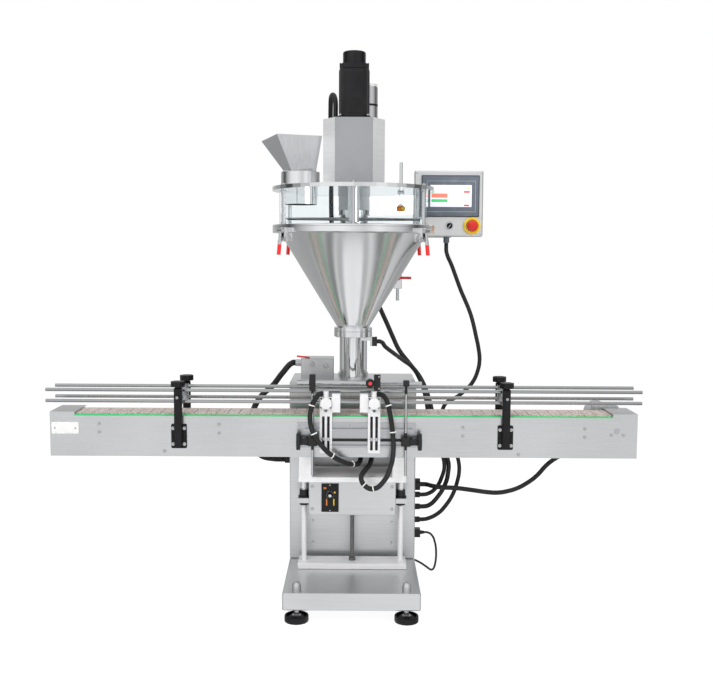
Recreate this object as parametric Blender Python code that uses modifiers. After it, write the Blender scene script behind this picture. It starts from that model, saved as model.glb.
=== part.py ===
"""Auger powder filler: a hopper with a dosing auger over a two metre slat conveyor.

Metres, +Z up, +X along the conveyor, +Y to the rear. The origin lies on the floor, at
the middle of the machine's box.
"""
import math

import bpy
import bmesh
from mathutils import Matrix, Vector

for old in list(bpy.data.objects):
    bpy.data.objects.remove(old, do_unlink=True)

# Gaps and cutters
GAP = 0.0003
RUNNING_GAP = 0.00006
OVERRUN = 0.004

# Machine frame
LID_RADIUS = 0.275
BASE_BEHIND = 0.400
AUGER_X = 0.030
AUGER_Y = (LID_RADIUS - BASE_BEHIND) / 2

# Base plinth and its feet
BASE_WIDTH = 0.456
BASE_AHEAD = 0.230
BASE_BOTTOM = 0.050
BASE_HEIGHT = 0.058
BASE_TOP = BASE_BOTTOM + BASE_HEIGHT
BASE_EDGE = 0.004
FOOT_RADIUS = 0.040
FOOT_RIM = 0.006
FOOT_CROWN = 0.020
FOOT_STUD_RADIUS = 0.008
FOOT_INSET = 0.045
DOME_NUT_RADIUS = 0.015
DOME_NUT_HEIGHT = 0.028

# Cabinet
CABINET_FRONT = 0.130
CABINET_BACK = 0.396
CABINET_TOP = 0.757
CABINET_EDGE = 0.003
PANEL_THICK = 0.002
LOWER_PANEL_LOW = 0.145
DOOR_MARGIN = 0.040
DOOR_LATCH_RADIUS = 0.012
VENT_COUNT = 6
VENT_LENGTH = 0.090
VENT_HEIGHT = 0.006
VENT_PITCH = 0.018
VENT_DEPTH = 0.005
GLAND_RADIUS = 0.011
GLAND_LENGTH = 0.022
GLAND_HEIGHTS = (0.236, 0.285, 0.330)
GLAND_BEHIND = 0.200
DUCT_HEIGHT = 0.369
DUCT_RADIUS = 0.022
INLET_HEIGHT = 0.187
INLET_WIDTH = 0.030
INLET_DEPTH = 0.024
RELIEF_LENGTH = 0.016
RELIEF_END_SHARE = 1.3

# Conveyor height slide
SCREW_RADIUS = 0.0072
SCREW_COLLAR_RADIUS = 0.012
SCREW_COLLAR_HEIGHT = 0.011
SCREW_TOP = 0.385
SHAFT_RADIUS = 0.009
SHAFT_SPACING = 0.343
SHAFT_BEHIND = 0.055
LIFT_TRAVEL = 0.030
LOWER_PLATE_WIDTH = 0.383
LOWER_PLATE_DEPTH = 0.088
LOWER_PLATE_THICK = 0.020
UPPER_PLATE_WIDTH = 0.368
UPPER_PLATE_AHEAD = 0.070
UPPER_PLATE_BEHIND = 0.100
UPPER_PLATE_LOW = 0.440
UPPER_PLATE_THICK = 0.018
HOUSING_WIDTH = 0.306
HOUSING_AHEAD = 0.025
HOUSING_LOW = 0.2995
HOUSING_TOP = 0.432
BUSH_RADIUS = 0.016
BUSH_FLANGE = 0.0205
BUSH_FLANGE_THICK = 0.004
BUSH_LOW = 0.3307
BUSH_TOP = 0.3847
BUSH_PLATE_LOW = 0.341
BUSH_PLATE_THICK = 0.0173
PLATE_EDGE = 0.0015

# Speed controller
CONTROLLER_WIDTH = 0.0606
CONTROLLER_LOW = 0.312
CONTROLLER_HEIGHT = 0.101
CONTROLLER_THICK = 0.004
CONTROLLER_OFFSET = -0.0783
DIAL_HEIGHT = 0.373
DIAL_RADIUS = 0.009
DIAL_DEPTH = 0.014
DIAL_STEM_RADIUS = 0.003
DIAL_STEM_DEPTH = 0.008

# Conveyor frame and slat chain
CONVEYOR_LENGTH = 1.995
CONVEYOR_HALF_WIDTH = 0.070
SIDE_THICK = 0.004
SPROCKET_AXLE_HEIGHT = 0.6225
SIDE_LOW = SPROCKET_AXLE_HEIGHT - 0.0945
SIDE_TOP = SPROCKET_AXLE_HEIGHT + 0.044
BELT_TOP = SPROCKET_AXLE_HEIGHT + 0.0515
SLAT_THICK = 0.006
SLAT_PITCH = 0.0381
SLAT_GROOVE = 0.0024
SLAT_GROOVE_DEPTH = 0.0022
BELT_HALF_WIDTH = 0.0565
INNER_STEPS = 10
SPROCKET_INSET = 0.070
SPROCKET_TEETH = 12
SPROCKET_TOOTH = 0.005
SPROCKET_WIDTH = 0.030
AXLE_RADIUS = 0.010
SPACER_RADIUS = 0.009
SPACER_COUNT = 5
SPACER_HEIGHT = SPROCKET_AXLE_HEIGHT - 0.0175
STRIP_HEIGHT = 0.0045
STRIP_WIDTH = 0.011
STRIP_SEAT = 0.002
JUNCTION_X = 0.078
JUNCTION_LENGTH = 0.080
JUNCTION_AHEAD = 0.020
JUNCTION_HEIGHT = 0.030
COVER_LENGTH = 0.084
COVER_LOW = BELT_TOP + 0.0032
COVER_THICK = 0.003
SADDLE_WIDTH = 0.045
SADDLE_OFFSET = 0.1595

# Guide rails and their brackets
RAIL_LENGTH = 2.030
RAIL_RADIUS = 0.006
RAIL_LEVELS = (0.715, 0.753)
RAIL_OFFSET = 0.052
RAIL_HEAD_WIDTH = 0.022
RAIL_HEAD_THICK = 0.018
RAIL_PIN_RADIUS = 0.005
RAIL_PIN_END = 0.102
BRACKET_X = (-0.559, 0.549)
BRACKET_WIDTH = 0.026
BRACKET_OUTER = 0.092
BRACKET_FOOT_WIDTH = 0.052
BRACKET_FOOT_LOW = 0.557
BRACKET_FOOT_TOP = 0.640
BRACKET_FOOT_THICK = 0.008
BRACKET_TOP = 0.766
BRACKET_EDGE = 0.003
KNOB_RADIUS = 0.024
KNOB_HEIGHT = 0.018
KNOB_LOBES = 6
KNOB_LOBE = 0.003
KNOB_STEM_RADIUS = 0.005
KNOB_STEM_DEPTH = 0.012
KNOB_COLLAR_RADIUS = 0.009
KNOB_COLLAR_HEIGHT = 0.003

# Container stops
GATE_X = (-0.060, 0.1026)
GATE_PLATE_WIDTH = 0.042
GATE_PLATE_LOW = 0.5465
GATE_PLATE_TOP = 0.7374
GATE_PLATE_THICK = 0.005
GATE_PLATE_AHEAD = 0.092
GATE_SLOT_WIDTH = 0.009
GATE_SLOT_SPACING = 0.017
GATE_SLOT_LOW = 0.556
GATE_SLOT_TOP = 0.672
GATE_CYLINDER_RADIUS = 0.019
GATE_CYLINDER_HEIGHT = 0.7172
GATE_CYLINDER_AHEAD = 0.106
GATE_BLOCK_WIDTH = 0.027
GATE_BLOCK_LOW = 0.6865
GATE_BLOCK_TOP = 0.7485
GATE_BLOCK_AHEAD = 0.096
GATE_BACK = 0.066
GATE_FITTING_AHEAD = 0.090
GATE_FITTING_RADIUS = 0.0095
GATE_FITTING_TOP = 0.7575
GATE_HOSE_HEIGHT = 0.7480
GATE_PIN_RADIUS = 0.004
GATE_PIN_LENGTH = 0.052
GATE_PIN_HEIGHT = 0.734
GATE_PIN_TIP = 0.0415
MOUNT_PLATE_X = (-0.158, 0.245)
MOUNT_PLATE_LOW = 0.561
MOUNT_PLATE_TOP = 0.647
MOUNT_PLATE_THICK = 0.004
MOUNT_LEDGE_THICK = 0.006
MOUNT_LEDGE_HEIGHTS = (0.565, 0.622)
CROSS_ROD_X = (-0.142, 0.245)
CROSS_ROD_HEIGHT = 0.5885
CROSS_ROD_AHEAD = 0.0805
CROSS_ROD_RADIUS = 0.004
ROD_HOLDER_WIDTH = 0.012
CROSS_KNOB_RADIUS = 0.029
CROSS_KNOB_LENGTH = 0.012
CROSS_KNOB_NECK = 0.026
CROSS_KNOB_NECK_RADIUS = 0.012
CROSS_KNOB_AHEAD = 0.105

# Sensor stands
SENSOR_ROD_X = (-0.105, 0.2094)
SENSOR_ROD_AHEAD = 0.0975
SENSOR_ROD_RADIUS = 0.0045
SENSOR_ROD_LOW = 0.471
SENSOR_ROD_TOP = (0.806, 0.786)
CROSS_CLAMP_SIZE = 0.030
CROSS_CLAMP_AHEAD = 0.112
CROSS_CLAMP_BACK = 0.0765
SENSOR_BAR_REACH = 0.052
SENSOR_HEAD = (0.020, 0.028, 0.054)
SENSOR_CAP = 0.020
SENSOR_BAR_HEIGHT = 0.7884
SENSOR_BAR_RADIUS = 0.0065
SENSOR_BAR_END = 0.112
SENSOR_BARREL_RADIUS = 0.009
SENSOR_PLATE = (0.022, 0.006, 0.054)
SENSOR_EYE_RADIUS = 0.014
SENSOR_EYE_X = 0.088

# Head column
POST_BEHIND = 0.338
POST_RADIUS = 0.052
POST_TOP = 1.650
POST_FLANGE_RADIUS = 0.057
POST_FLANGE_THICK = 0.012
STOP_COLLAR_RADIUS = 0.060
STOP_COLLAR_HEIGHT = 0.018
SLEEVE_LOW = 1.380
SLEEVE_TOP = 1.520
SLEEVE_RADIUS = 0.0605
HEAD_ARM_WIDTH = 0.080
HEAD_ARM_THICK = 0.060
ARM_HEIGHT = 1.293
ARM_RADIUS = 0.0125
ARM_BEHIND = 0.385
ARM_COLLAR_HEIGHT = 0.046
LOCK_HEIGHT = 1.115
LOCK_X = 0.196
LOCK_BLOCK = (0.030, 0.030, 0.055)
LOCK_BAR_RADIUS = 0.008
LOCK_ROD_RADIUS = 0.006
LOCK_ROD_LOW = 1.0425
LOCK_LEVER_LENGTH = 0.050
LOCK_LEVER_RADIUS = 0.005

# Hopper
LID_LOW = 1.4275
LID_THICK = 0.0125
LID_TOP = LID_LOW + LID_THICK
RING_INNER = 0.238
RING_LOW = 1.3053
RING_THICK = 0.008
RIM_LOW = 1.287
WINDOW_RADIUS = 0.252
WINDOW_WALL = 0.004
TIE_ROD_RADIUS = 0.006
TIE_ROD_CIRCLE = 0.2640
TIE_ROD_COUNT = 6
CONE_TOP_RADIUS = 0.250
CONE_NECK_RADIUS = 0.0555
CONE_WALL = 0.002
CONE_LOW = 0.970
NECK_LOW = 0.955
FERRULE_RADIUS = 0.065
FERRULE_THICK = 0.012
TUBE_RADIUS = 0.0245
TUBE_WALL = 0.002
TUBE_LOW = 0.795
TUBE_COLLAR_LOW = 0.936
AUGER_RADIUS = 0.0212
AUGER_CORE_RADIUS = 0.008
AUGER_PITCH = 0.040
AUGER_TURNS = 7
AUGER_LOW = 0.800
AUGER_FLIGHT_SHARE = 0.12
AUGER_STEPS = 10
AGITATOR_TUBE_RADIUS = 0.020
AGITATOR_TUBE_BORE = 0.0125
AGITATOR_TUBE_LOW = 1.325
AGITATOR_ARM_DROP = 0.010
AGITATOR_TUBE_TOP = 1.500
AGITATOR_ROD_RADIUS = 0.006
AGITATOR_WALL_GAP = 0.022
AGITATOR_LOW = 1.010
PULLEY_RADIUS = 0.045
PULLEY_LOW = 1.455
PULLEY_THICK = 0.020
LEVEL_ROD_X = 0.190
LEVEL_ROD_LOW = 1.360
LEVEL_ROD_TOP = 1.527
LEVEL_ROD_RADIUS = 0.005
CLAMP_ANGLE = math.radians(50)
CLAMP_PIVOT_HEIGHT = 1.290
CLAMP_BODY_INNER = 0.266
CLAMP_BODY_OUTER = 0.2975
CLAMP_BODY_WIDTH = 0.024
CLAMP_BODY_LOW = 1.255
CLAMP_BODY_TOP = 1.302
CLAMP_PIVOT_RADIUS = 0.006
CLAMP_HANDLE_RADIUS = 0.0065
CLAMP_HANDLE_LENGTH = 0.075
CLAMP_LEAN = math.radians(6)

# Auger tube's vibrator and the auger's drive shaft
VIBRATOR_REACH = 0.078
VIBRATOR_WIDTH = 0.030
VIBRATOR_HEIGHT = 0.030
VIBRATOR_RISE = -0.003
AUGER_SHAFT_RADIUS = 0.0085
AUGER_TIP_RADIUS = 0.0115
AUGER_TIP_LOW = 0.787
COUPLING_RADIUS = 0.020
COUPLING_LENGTH = 0.055

# Motors and feed chute
COVER_BOX_WIDTH = 0.206
COVER_BOX_FLAT = 0.123
COVER_BOX_AHEAD = 0.100
COVER_BOX_BEHIND = 0.135
COVER_BOX_CHAMFER_DEPTH = 0.060
COVER_BOX_TOP = 1.663
COVER_BOX_WALL = 0.003
SERVO_SIDE = 0.109
SERVO_FLANGE_THICK = 0.020
SERVO_BODY_TOP = 1.848
SERVO_EDGE = 0.010
SERVO_STEP = 0.005
SERVO_CAP_RADIUS = 0.040
SERVO_TOP = 1.890
MIXER_MOTOR_RADIUS = 0.030
MIXER_MOTOR_TOP = 1.800
MIXER_MOTOR_X = 0.080
MIXER_MOTOR_BEHIND = 0.093
HEAD_GLAND_X = -0.035
HEAD_GLAND_BEHIND = 0.105
CHUTE_X = -0.153
CHUTE_BEHIND = 0.030
CHUTE_TURN = math.radians(8)
CHUTE_COLLAR_RADIUS = 0.066
CHUTE_WALL = 0.002
CHUTE_COLLAR_TOP = 1.4945
CHUTE_TUBE_RADIUS = 0.058
CHUTE_TUBE_LOW = 1.385
CHUTE_THROAT = (0.086, 0.086)
CHUTE_MOUTH = (0.160, 0.190)
CHUTE_MOUTH_SHIFT = (-0.015, 0.030)
CHUTE_TOP = 1.611

# Operator panel
PANEL_X = 0.378
PANEL_WIDTH = 0.252
PANEL_LOW = ARM_HEIGHT - 0.0106
PANEL_HEIGHT = 0.241
PANEL_AHEAD = 0.260
PANEL_DEPTH = 0.042
PANEL_EDGE = 0.004
BEZEL_INSET = 0.0254
BEZEL_WIDTH = 0.212
BEZEL_LOW = PANEL_LOW + 0.0722
BEZEL_HEIGHT = 0.151
BEZEL_THICK = 0.006
BUTTON_HEIGHT = PANEL_LOW + 0.0397
STOP_X = 0.4637
STOP_RING_RADIUS = 0.030
STOP_RING_THICK = 0.002
STOP_COLLAR = 0.013
STOP_COLLAR_DEPTH = 0.012
STOP_HEAD_RADIUS = 0.020
STOP_HEAD_DEPTH = 0.014
STOP_STEM_RADIUS = 0.006
STOP_TRAVEL = 0.005
SELECTOR_X = 0.3815
SELECTOR_COLLAR = 0.0145
SELECTOR_COLLAR_DEPTH = 0.005
PANEL_GLAND_X = 0.3727
SELECTOR_KNOB_RADIUS = 0.011
SELECTOR_DEPTH = 0.016
PIVOT_RADIUS = 0.008
PIVOT_EYE_RADIUS = 0.018
PIVOT_EYE_HEIGHT = 0.024

# Dust extraction unit and conveyor motor
DUST_BOX = (0.117, 0.100, 0.081)
DUST_BOX_X = -0.1005
DUST_BOX_BEHIND = 0.215
DUST_SPIGOT_RADIUS = 0.013
DUST_SPIGOT_LENGTH = 0.022
DUST_GLAND_HEIGHT = 0.462
GEARBOX_SIDE = 0.090
GEARBOX_DEPTH = 0.050
GEAR_OFFSET = 0.018
MOTOR_RADIUS = 0.043
MOTOR_LENGTH = 0.110

# Cords and hoses: radii, and routes of world places from one end to the other
HEAD_CABLE_RADIUS = 0.0085
PANEL_CABLE_RADIUS = 0.0075
HOSE_RADIUS = 0.0085
DUST_HOSE_RADIUS = 0.011
POWER_CORD_RADIUS = 0.004
STRAIGHT_END = 0.010
CORD_SPACING = 6.0
PANEL_CABLE_ROUTE = (
    (0.374, 0.2170, 1.225), (0.393, 0.207, 1.177), (0.427, 0.196, 1.085), (0.461, 0.186, 1.004),
    (0.483, 0.177, 0.919), (0.498, 0.177, 0.826), (0.474, 0.172, 0.748), (0.417, 0.163, 0.694),
    (0.372, 0.147, 0.670), (0.358, 0.138, 0.630), (0.371, 0.128, 0.573), (0.408, 0.128, 0.498),
    (0.424, 0.133, 0.422), (0.400, 0.138, 0.327), (0.352, 0.138, 0.262), (0.312, 0.1375, 0.240))
HEAD_CABLE_ROUTE = (
    (-0.038, 0.055, 1.760), (-0.050, 0.092, 1.772), (-0.055, 0.135, 1.730),
    (-0.055, 0.175, 1.640), (-0.055, 0.210, 1.540), (-0.055, 0.234, 1.450), (-0.054, 0.236, 1.350),
    (-0.045, 0.228, 1.270), (-0.010, 0.205, 1.215), (0.045, 0.198, 1.160), (0.090, 0.206, 1.100),
    (0.126, 0.235, 1.023), (0.160, 0.228, 0.949), (0.201, 0.218, 0.861), (0.240, 0.208, 0.811),
    (0.280, 0.198, 0.760), (0.307, 0.177, 0.699), (0.321, 0.158, 0.646), (0.331, 0.138, 0.590),
    (0.356, 0.128, 0.517), (0.383, 0.128, 0.453), (0.375, 0.134, 0.376), (0.344, 0.1375, 0.319),
    (0.312, 0.1375, 0.289))
VIBRATOR_CABLE_ROUTE = (
    (0.142, -0.033, 0.897), (0.172, 0.018, 0.870), (0.214, 0.098, 0.833),
    (0.248, 0.147, 0.803), (0.274, 0.172, 0.762), (0.295, 0.152, 0.703), (0.305, 0.138, 0.645),
    (0.315, 0.117, 0.575), (0.347, 0.108, 0.510), (0.366, 0.108, 0.454), (0.357, 0.122, 0.395),
    (0.333, 0.134, 0.350), (0.308, 0.1375, 0.333))
MOTOR_CABLE_ROUTE = (
    (0.9275, 0.1275, 0.5972), (0.9275, 0.1275, 0.585), (0.912, 0.1275, 0.550), (0.880, 0.1275, 0.524),
    (0.840, 0.1275, 0.503), (0.796, 0.1275, 0.482), (0.752, 0.1275, 0.452), (0.706, 0.1275, 0.402),
    (0.641, 0.122, 0.361), (0.563, 0.112, 0.345), (0.480, 0.103, 0.355), (0.409, 0.094, 0.366),
    (0.350, 0.098, 0.368), (0.318, 0.118, 0.369), (0.304, 0.1345, 0.369))
DUST_HOSE_ROUTE = (
    (-0.228, 0.148, 0.782), (-0.266, 0.147, 0.733), (-0.305, 0.138, 0.698),
    (-0.330, 0.128, 0.658), (-0.348, 0.110, 0.593), (-0.345, 0.118, 0.530), (-0.310, 0.128, 0.478),
    (-0.262, 0.1375, 0.463))
GATE_HOSE_LEFT_ROUTE = (
    (-0.092, -0.172, 0.738), (-0.105, -0.182, 0.713),
    (-0.112, -0.182, 0.669), (-0.100, -0.185, 0.618), (-0.070, -0.188, 0.575), (-0.037, -0.182, 0.543),
    (0.002, -0.165, 0.518), (0.030, -0.135, 0.504), (0.052, -0.098, 0.500))
GATE_HOSE_RIGHT_ROUTE = (
    (0.138, -0.167, 0.739), (0.149, -0.179, 0.713), (0.156, -0.182, 0.680),
    (0.164, -0.182, 0.625), (0.167, -0.182, 0.553), (0.158, -0.182, 0.506), (0.139, -0.182, 0.462),
    (0.101, -0.182, 0.431), (0.070, -0.180, 0.444), (0.060, -0.172, 0.468), (0.072, -0.150, 0.486),
    (0.088, -0.105, 0.495))
GATE_HOSE_ENDS = (0.060, 0.098)
POWER_CORD_ROUTE = (
    (0.326, 0.1390, 0.176), (0.339, 0.1430, 0.145), (0.344, 0.1500, 0.108),
    (0.344, 0.1680, 0.066), (0.340, 0.1980, 0.030), (0.333, 0.2400, 0.009), (0.320, 0.2850, 0.0045),
    (0.296, 0.3400, 0.0045), (0.258, 0.3950, 0.0045), (0.205, 0.4400, 0.0045), (0.145, 0.4690, 0.0045))
COIL_PLACE = (0.080, 0.415)
COIL_RADIUS = 0.045
COIL_THICK = 0.024
PLUG_RELIEF = 0.024
PLUG_BODY = (0.045, 0.034, 0.030)
PLUG_PIN_RADIUS = 0.0024
PLUG_PIN_LENGTH = 0.019
PLUG_PIN_SPACING = 0.019

# Colours, each with roughness and metallic
BRUSHED_STEEL = ((0.62, 0.63, 0.65), 0.32, 1.0)
POLISHED_STEEL = ((0.75, 0.76, 0.78), 0.12, 1.0)
WHITE_ALUMINIUM = ((0.82, 0.82, 0.83), 0.45, 0.3)
BLACK_PLASTIC = ((0.02, 0.02, 0.022), 0.45, 0.0)
BLACK_RUBBER = ((0.015, 0.015, 0.016), 0.7, 0.0)
BELT_PLASTIC = ((0.42, 0.33, 0.28), 0.6, 0.0)
RED_PLASTIC = ((0.75, 0.03, 0.02), 0.35, 0.0)
ACRYLIC = ((0.85, 0.90, 0.92), 0.05, 0.0)
GREY_PAINT = ((0.35, 0.36, 0.37), 0.5, 0.0)

parts = bpy.data.collections.new("auger_powder_filler")
cutters = bpy.data.collections.new("cutters")
for group in (parts, cutters):
    bpy.context.scene.collection.children.link(group)


# Shape helpers
def new_object(mesh, collection=parts):
    obj = bpy.data.objects.new("shape", mesh)
    collection.objects.link(obj)
    return obj


def turn_to(axis):
    """Rotation that turns +Z to +X, or for Y to the front, -Y, with +Y turned up."""
    return {"Z": Matrix.Identity(4),
            "X": Matrix.Rotation(math.radians(90), 4, "Y"),
            "Y": Matrix.Rotation(math.radians(90), 4, "X")}[axis]


def box(low, high, edge=0.0):
    """A block between two corners, its edges broken by edge."""
    bm = bmesh.new()
    low, high = Vector(low), Vector(high)
    size = high - low
    bmesh.ops.create_cube(bm, size=1.0)
    bmesh.ops.scale(bm, vec=size, verts=bm.verts)
    bmesh.ops.translate(bm, vec=(low + high) / 2, verts=bm.verts)
    mesh = bpy.data.meshes.new("block")
    bm.to_mesh(mesh)
    bm.free()
    obj = new_object(mesh)
    if edge:
        bevel = obj.modifiers.new("edges", "BEVEL")
        bevel.width = edge
        bevel.segments = 1
    return obj


def drum(centre, radius, length, axis="Z", sides=20, top_radius=None):
    """A cylinder or cone frustum along an axis, centred on a point."""
    bm = bmesh.new()
    bmesh.ops.create_cone(bm, cap_ends=True, segments=sides, radius1=radius,
                          radius2=radius if top_radius is None else top_radius, depth=length)
    bmesh.ops.transform(bm, matrix=Matrix.Translation(centre) @ turn_to(axis), verts=bm.verts)
    mesh = bpy.data.meshes.new("drum")
    bm.to_mesh(mesh)
    bm.free()
    mesh.shade_smooth()
    mesh.set_sharp_from_angle(angle=math.radians(35))
    return new_object(mesh)


def turning_bore(centre, radius, length, axis="Z", sides=20):
    """A cutter for the hole that a shaft of that radius and side count turns in."""
    return drum(centre, (radius + RUNNING_GAP) / math.cos(math.pi / sides), length, axis, sides)


def turned(profile, place, steps=24, axis="Z", closed=False):
    """A turned piece: (radius, height) points down its outer side, top to bottom."""
    mesh = bpy.data.meshes.new("profile")
    rim = [(radius, 0.0, height) for radius, height in profile]
    count = len(rim)
    edges = [(i, i + 1) for i in range(count - 1)]
    if closed:
        edges.append((count - 1, 0))
    mesh.from_pydata(rim, edges, [])
    obj = new_object(mesh)
    obj.matrix_world = Matrix.Translation(place) @ turn_to(axis)
    lathe = obj.modifiers.new("lathe", "SCREW")
    lathe.steps = lathe.render_steps = steps
    lathe.use_merge_vertices = True
    lathe.merge_threshold = 0.00005
    lathe.use_smooth_shade = True
    return obj


def as_mesh(obj, merge=0.00002):
    """The evaluated shape of a curve as a welded mesh object in its place."""
    depsgraph = bpy.context.evaluated_depsgraph_get()
    mesh = bpy.data.meshes.new_from_object(obj.evaluated_get(depsgraph))
    bm = bmesh.new()
    bm.from_mesh(mesh)
    bmesh.ops.remove_doubles(bm, verts=bm.verts, dist=merge)
    bm.to_mesh(mesh)
    bm.free()
    solid = new_object(mesh)
    solid.matrix_world = obj.matrix_world.copy()
    bpy.data.objects.remove(obj, do_unlink=True)
    return solid


def slab(outlines, place, thickness, axis="Z"):
    """A flat piece: closed outlines, later ones holes, with thickness along the axis."""
    curve = bpy.data.curves.new("outline", "CURVE")
    curve.dimensions = "2D"
    curve.fill_mode = "BOTH"
    curve.extrude = thickness / 2
    for outline in outlines:
        spline = curve.splines.new("POLY")
        spline.points.add(len(outline) - 1)
        for point, (along, across) in zip(spline.points, outline):
            point.co = (along, across, 0.0, 1.0)
        spline.use_cyclic_u = True
    obj = new_object(curve)
    obj.matrix_world = Matrix.Translation(place) @ turn_to(axis)
    bpy.context.view_layer.update()
    return as_mesh(obj)


def rod(points, radius, resolution=2):
    """A bent rod or a cord along points, with flat ends."""
    curve = bpy.data.curves.new("route", "CURVE")
    curve.dimensions = "3D"
    curve.bevel_depth = radius
    curve.bevel_resolution = resolution
    curve.use_fill_caps = True
    spline = curve.splines.new("POLY")
    spline.points.add(len(points) - 1)
    for point, place in zip(spline.points, points):
        point.co = (*place, 1.0)
    obj = new_object(curve)
    bpy.context.view_layer.update()
    return as_mesh(obj)


def smooth_route(stations, spacing):
    """Points a spacing apart on a smooth curve through a cord's stations."""
    stations = [Vector(station) for station in stations]
    ends = [2 * stations[0] - stations[1], *stations, 2 * stations[-1] - stations[-2]]
    points = [stations[0]]
    for before, start, stop, after in zip(ends, ends[1:], ends[2:], ends[3:]):
        count = max(1, round((stop - start).length / spacing))
        for step in range(1, count + 1):
            t = step / count
            points.append(0.5 * ((2 * start) + (stop - before) * t
                                 + (2 * before - 5 * start + 4 * stop - after) * t ** 2
                                 + (3 * start - before - 3 * stop + after) * t ** 3))
    return points


def use_as_tool(obj):
    """Put a shape with the cutters, which aren't part of the model."""
    for collection in list(obj.users_collection):
        collection.objects.unlink(obj)
    cutters.objects.link(obj)
    obj.hide_render = True
    obj.display_type = "WIRE"


def combine(base, tools, operation):
    for tool in tools:
        boolean = base.modifiers.new(operation.lower(), "BOOLEAN")
        boolean.operation = operation
        boolean.object = tool
        use_as_tool(tool)
    return base


def unite(base, *tools):
    return combine(base, tools, "UNION")


def cut(base, *tools):
    return combine(base, tools, "DIFFERENCE")


def name_part(obj, name, finish):
    """Give a finished solid its name and its own material."""
    colour, roughness, metallic = finish
    obj.name = name
    obj.data.name = name
    material = bpy.data.materials.new(name + "_finish")
    material.use_nodes = True
    shader = material.node_tree.nodes["Principled BSDF"]
    shader.inputs["Base Color"].default_value = (*colour, 1.0)
    shader.inputs["Roughness"].default_value = roughness
    shader.inputs["Metallic"].default_value = metallic
    obj.data.materials.clear()
    obj.data.materials.append(material)
    return obj


def behind(distance):
    """World Y of a distance behind the auger's axis."""
    return AUGER_Y + distance


# Base plinth with its levelling feet
base_rear = behind(BASE_BEHIND)
base_front = behind(-BASE_AHEAD)
base_left = AUGER_X - BASE_WIDTH / 2
base_right = AUGER_X + BASE_WIDTH / 2
plinth = box((base_left, base_front, BASE_BOTTOM), (base_right, base_rear, BASE_TOP), BASE_EDGE)
nut_profile = ((0, BASE_TOP + DOME_NUT_HEIGHT), (DOME_NUT_RADIUS * 0.7, BASE_TOP + DOME_NUT_HEIGHT * 0.85),
               (DOME_NUT_RADIUS, BASE_TOP + DOME_NUT_HEIGHT / 2), (DOME_NUT_RADIUS, BASE_TOP - BASE_EDGE),
               (0, BASE_TOP - BASE_EDGE))
foot_profile = ((0, BASE_BOTTOM + BASE_EDGE), (FOOT_STUD_RADIUS, BASE_BOTTOM + BASE_EDGE),
                (FOOT_STUD_RADIUS, FOOT_CROWN), (FOOT_RADIUS * 0.45, FOOT_CROWN), (FOOT_RADIUS, FOOT_RIM),
                (FOOT_RADIUS, 0), (0, 0))
foot_places = [(x, y) for x in (base_left + FOOT_INSET, base_right - FOOT_INSET)
               for y in (base_front + FOOT_INSET, base_rear - FOOT_INSET)]
unite(plinth, *(turned(foot_profile, (x, y, 0), steps=16) for x, y in foot_places))
unite(plinth, *(turned(nut_profile, (x, y, 0), steps=16) for x, y in foot_places if y < AUGER_Y))
name_part(plinth, "base_plinth", BRUSHED_STEEL)

# Cabinet with its rear door, vents, glands and power inlet
cabinet_front = behind(CABINET_FRONT)
cabinet_back = behind(CABINET_BACK)
cabinet_left = base_left
cabinet_right = base_right - GAP
cabinet = box((cabinet_left, cabinet_front, BASE_TOP + GAP),
              (cabinet_right, cabinet_back - PANEL_THICK, CABINET_TOP), CABINET_EDGE)
housing_left = AUGER_X - HOUSING_WIDTH / 2
housing_right = AUGER_X + HOUSING_WIDTH / 2
lower_panel = box((housing_left, cabinet_front - PANEL_THICK, LOWER_PANEL_LOW),
                  (housing_right, cabinet_front + OVERRUN, HOUSING_LOW - GAP))
door = box((cabinet_left + DOOR_MARGIN, cabinet_back - PANEL_THICK - OVERRUN, BASE_TOP + DOOR_MARGIN),
           (cabinet_right - DOOR_MARGIN, cabinet_back, CABINET_TOP - DOOR_MARGIN))
latch_x = cabinet_left + DOOR_MARGIN + DOOR_LATCH_RADIUS * 2
latch = drum((latch_x, cabinet_back, (BASE_TOP + CABINET_TOP) / 2), DOOR_LATCH_RADIUS,
             2 * PANEL_THICK, "Y", 16)
gland_x = cabinet_right + GLAND_LENGTH / 2 - OVERRUN / 2
gland_y = behind(GLAND_BEHIND)
glands = [drum((gland_x, gland_y, height), GLAND_RADIUS, GLAND_LENGTH + OVERRUN, "X", 12)
          for height in GLAND_HEIGHTS]
duct = drum((gland_x, gland_y, DUCT_HEIGHT), DUCT_RADIUS, GLAND_LENGTH + OVERRUN, "X", 16)
inlet = box((cabinet_right - OVERRUN, gland_y - INLET_WIDTH / 2, INLET_HEIGHT - INLET_WIDTH / 2),
            (cabinet_right + INLET_DEPTH, gland_y + INLET_WIDTH / 2, INLET_HEIGHT + INLET_WIDTH / 2))
relief_end = cabinet_right + INLET_DEPTH + RELIEF_LENGTH
relief = drum((relief_end - (RELIEF_LENGTH + GAP) / 2, gland_y, INLET_HEIGHT), 2 * POWER_CORD_RADIUS,
              RELIEF_LENGTH + GAP, "X", 12, POWER_CORD_RADIUS * RELIEF_END_SHARE)
dust_gland = drum((cabinet_left - GLAND_LENGTH / 2 + OVERRUN / 2, gland_y, DUST_GLAND_HEIGHT),
                  DUST_HOSE_RADIUS * 1.4, GLAND_LENGTH + OVERRUN, "X", 16)
unite(cabinet, lower_panel, door, latch, *glands, duct, inlet, relief, dust_gland)
vent_middle = (CABINET_TOP + BASE_TOP) / 2 - VENT_COUNT * VENT_PITCH
vents = [box((AUGER_X - VENT_LENGTH / 2, cabinet_back - VENT_DEPTH, vent_middle + i * VENT_PITCH),
             (AUGER_X + VENT_LENGTH / 2, cabinet_back + OVERRUN, vent_middle + i * VENT_PITCH + VENT_HEIGHT))
         for i in range(VENT_COUNT)]
cut(cabinet, *vents)
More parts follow.
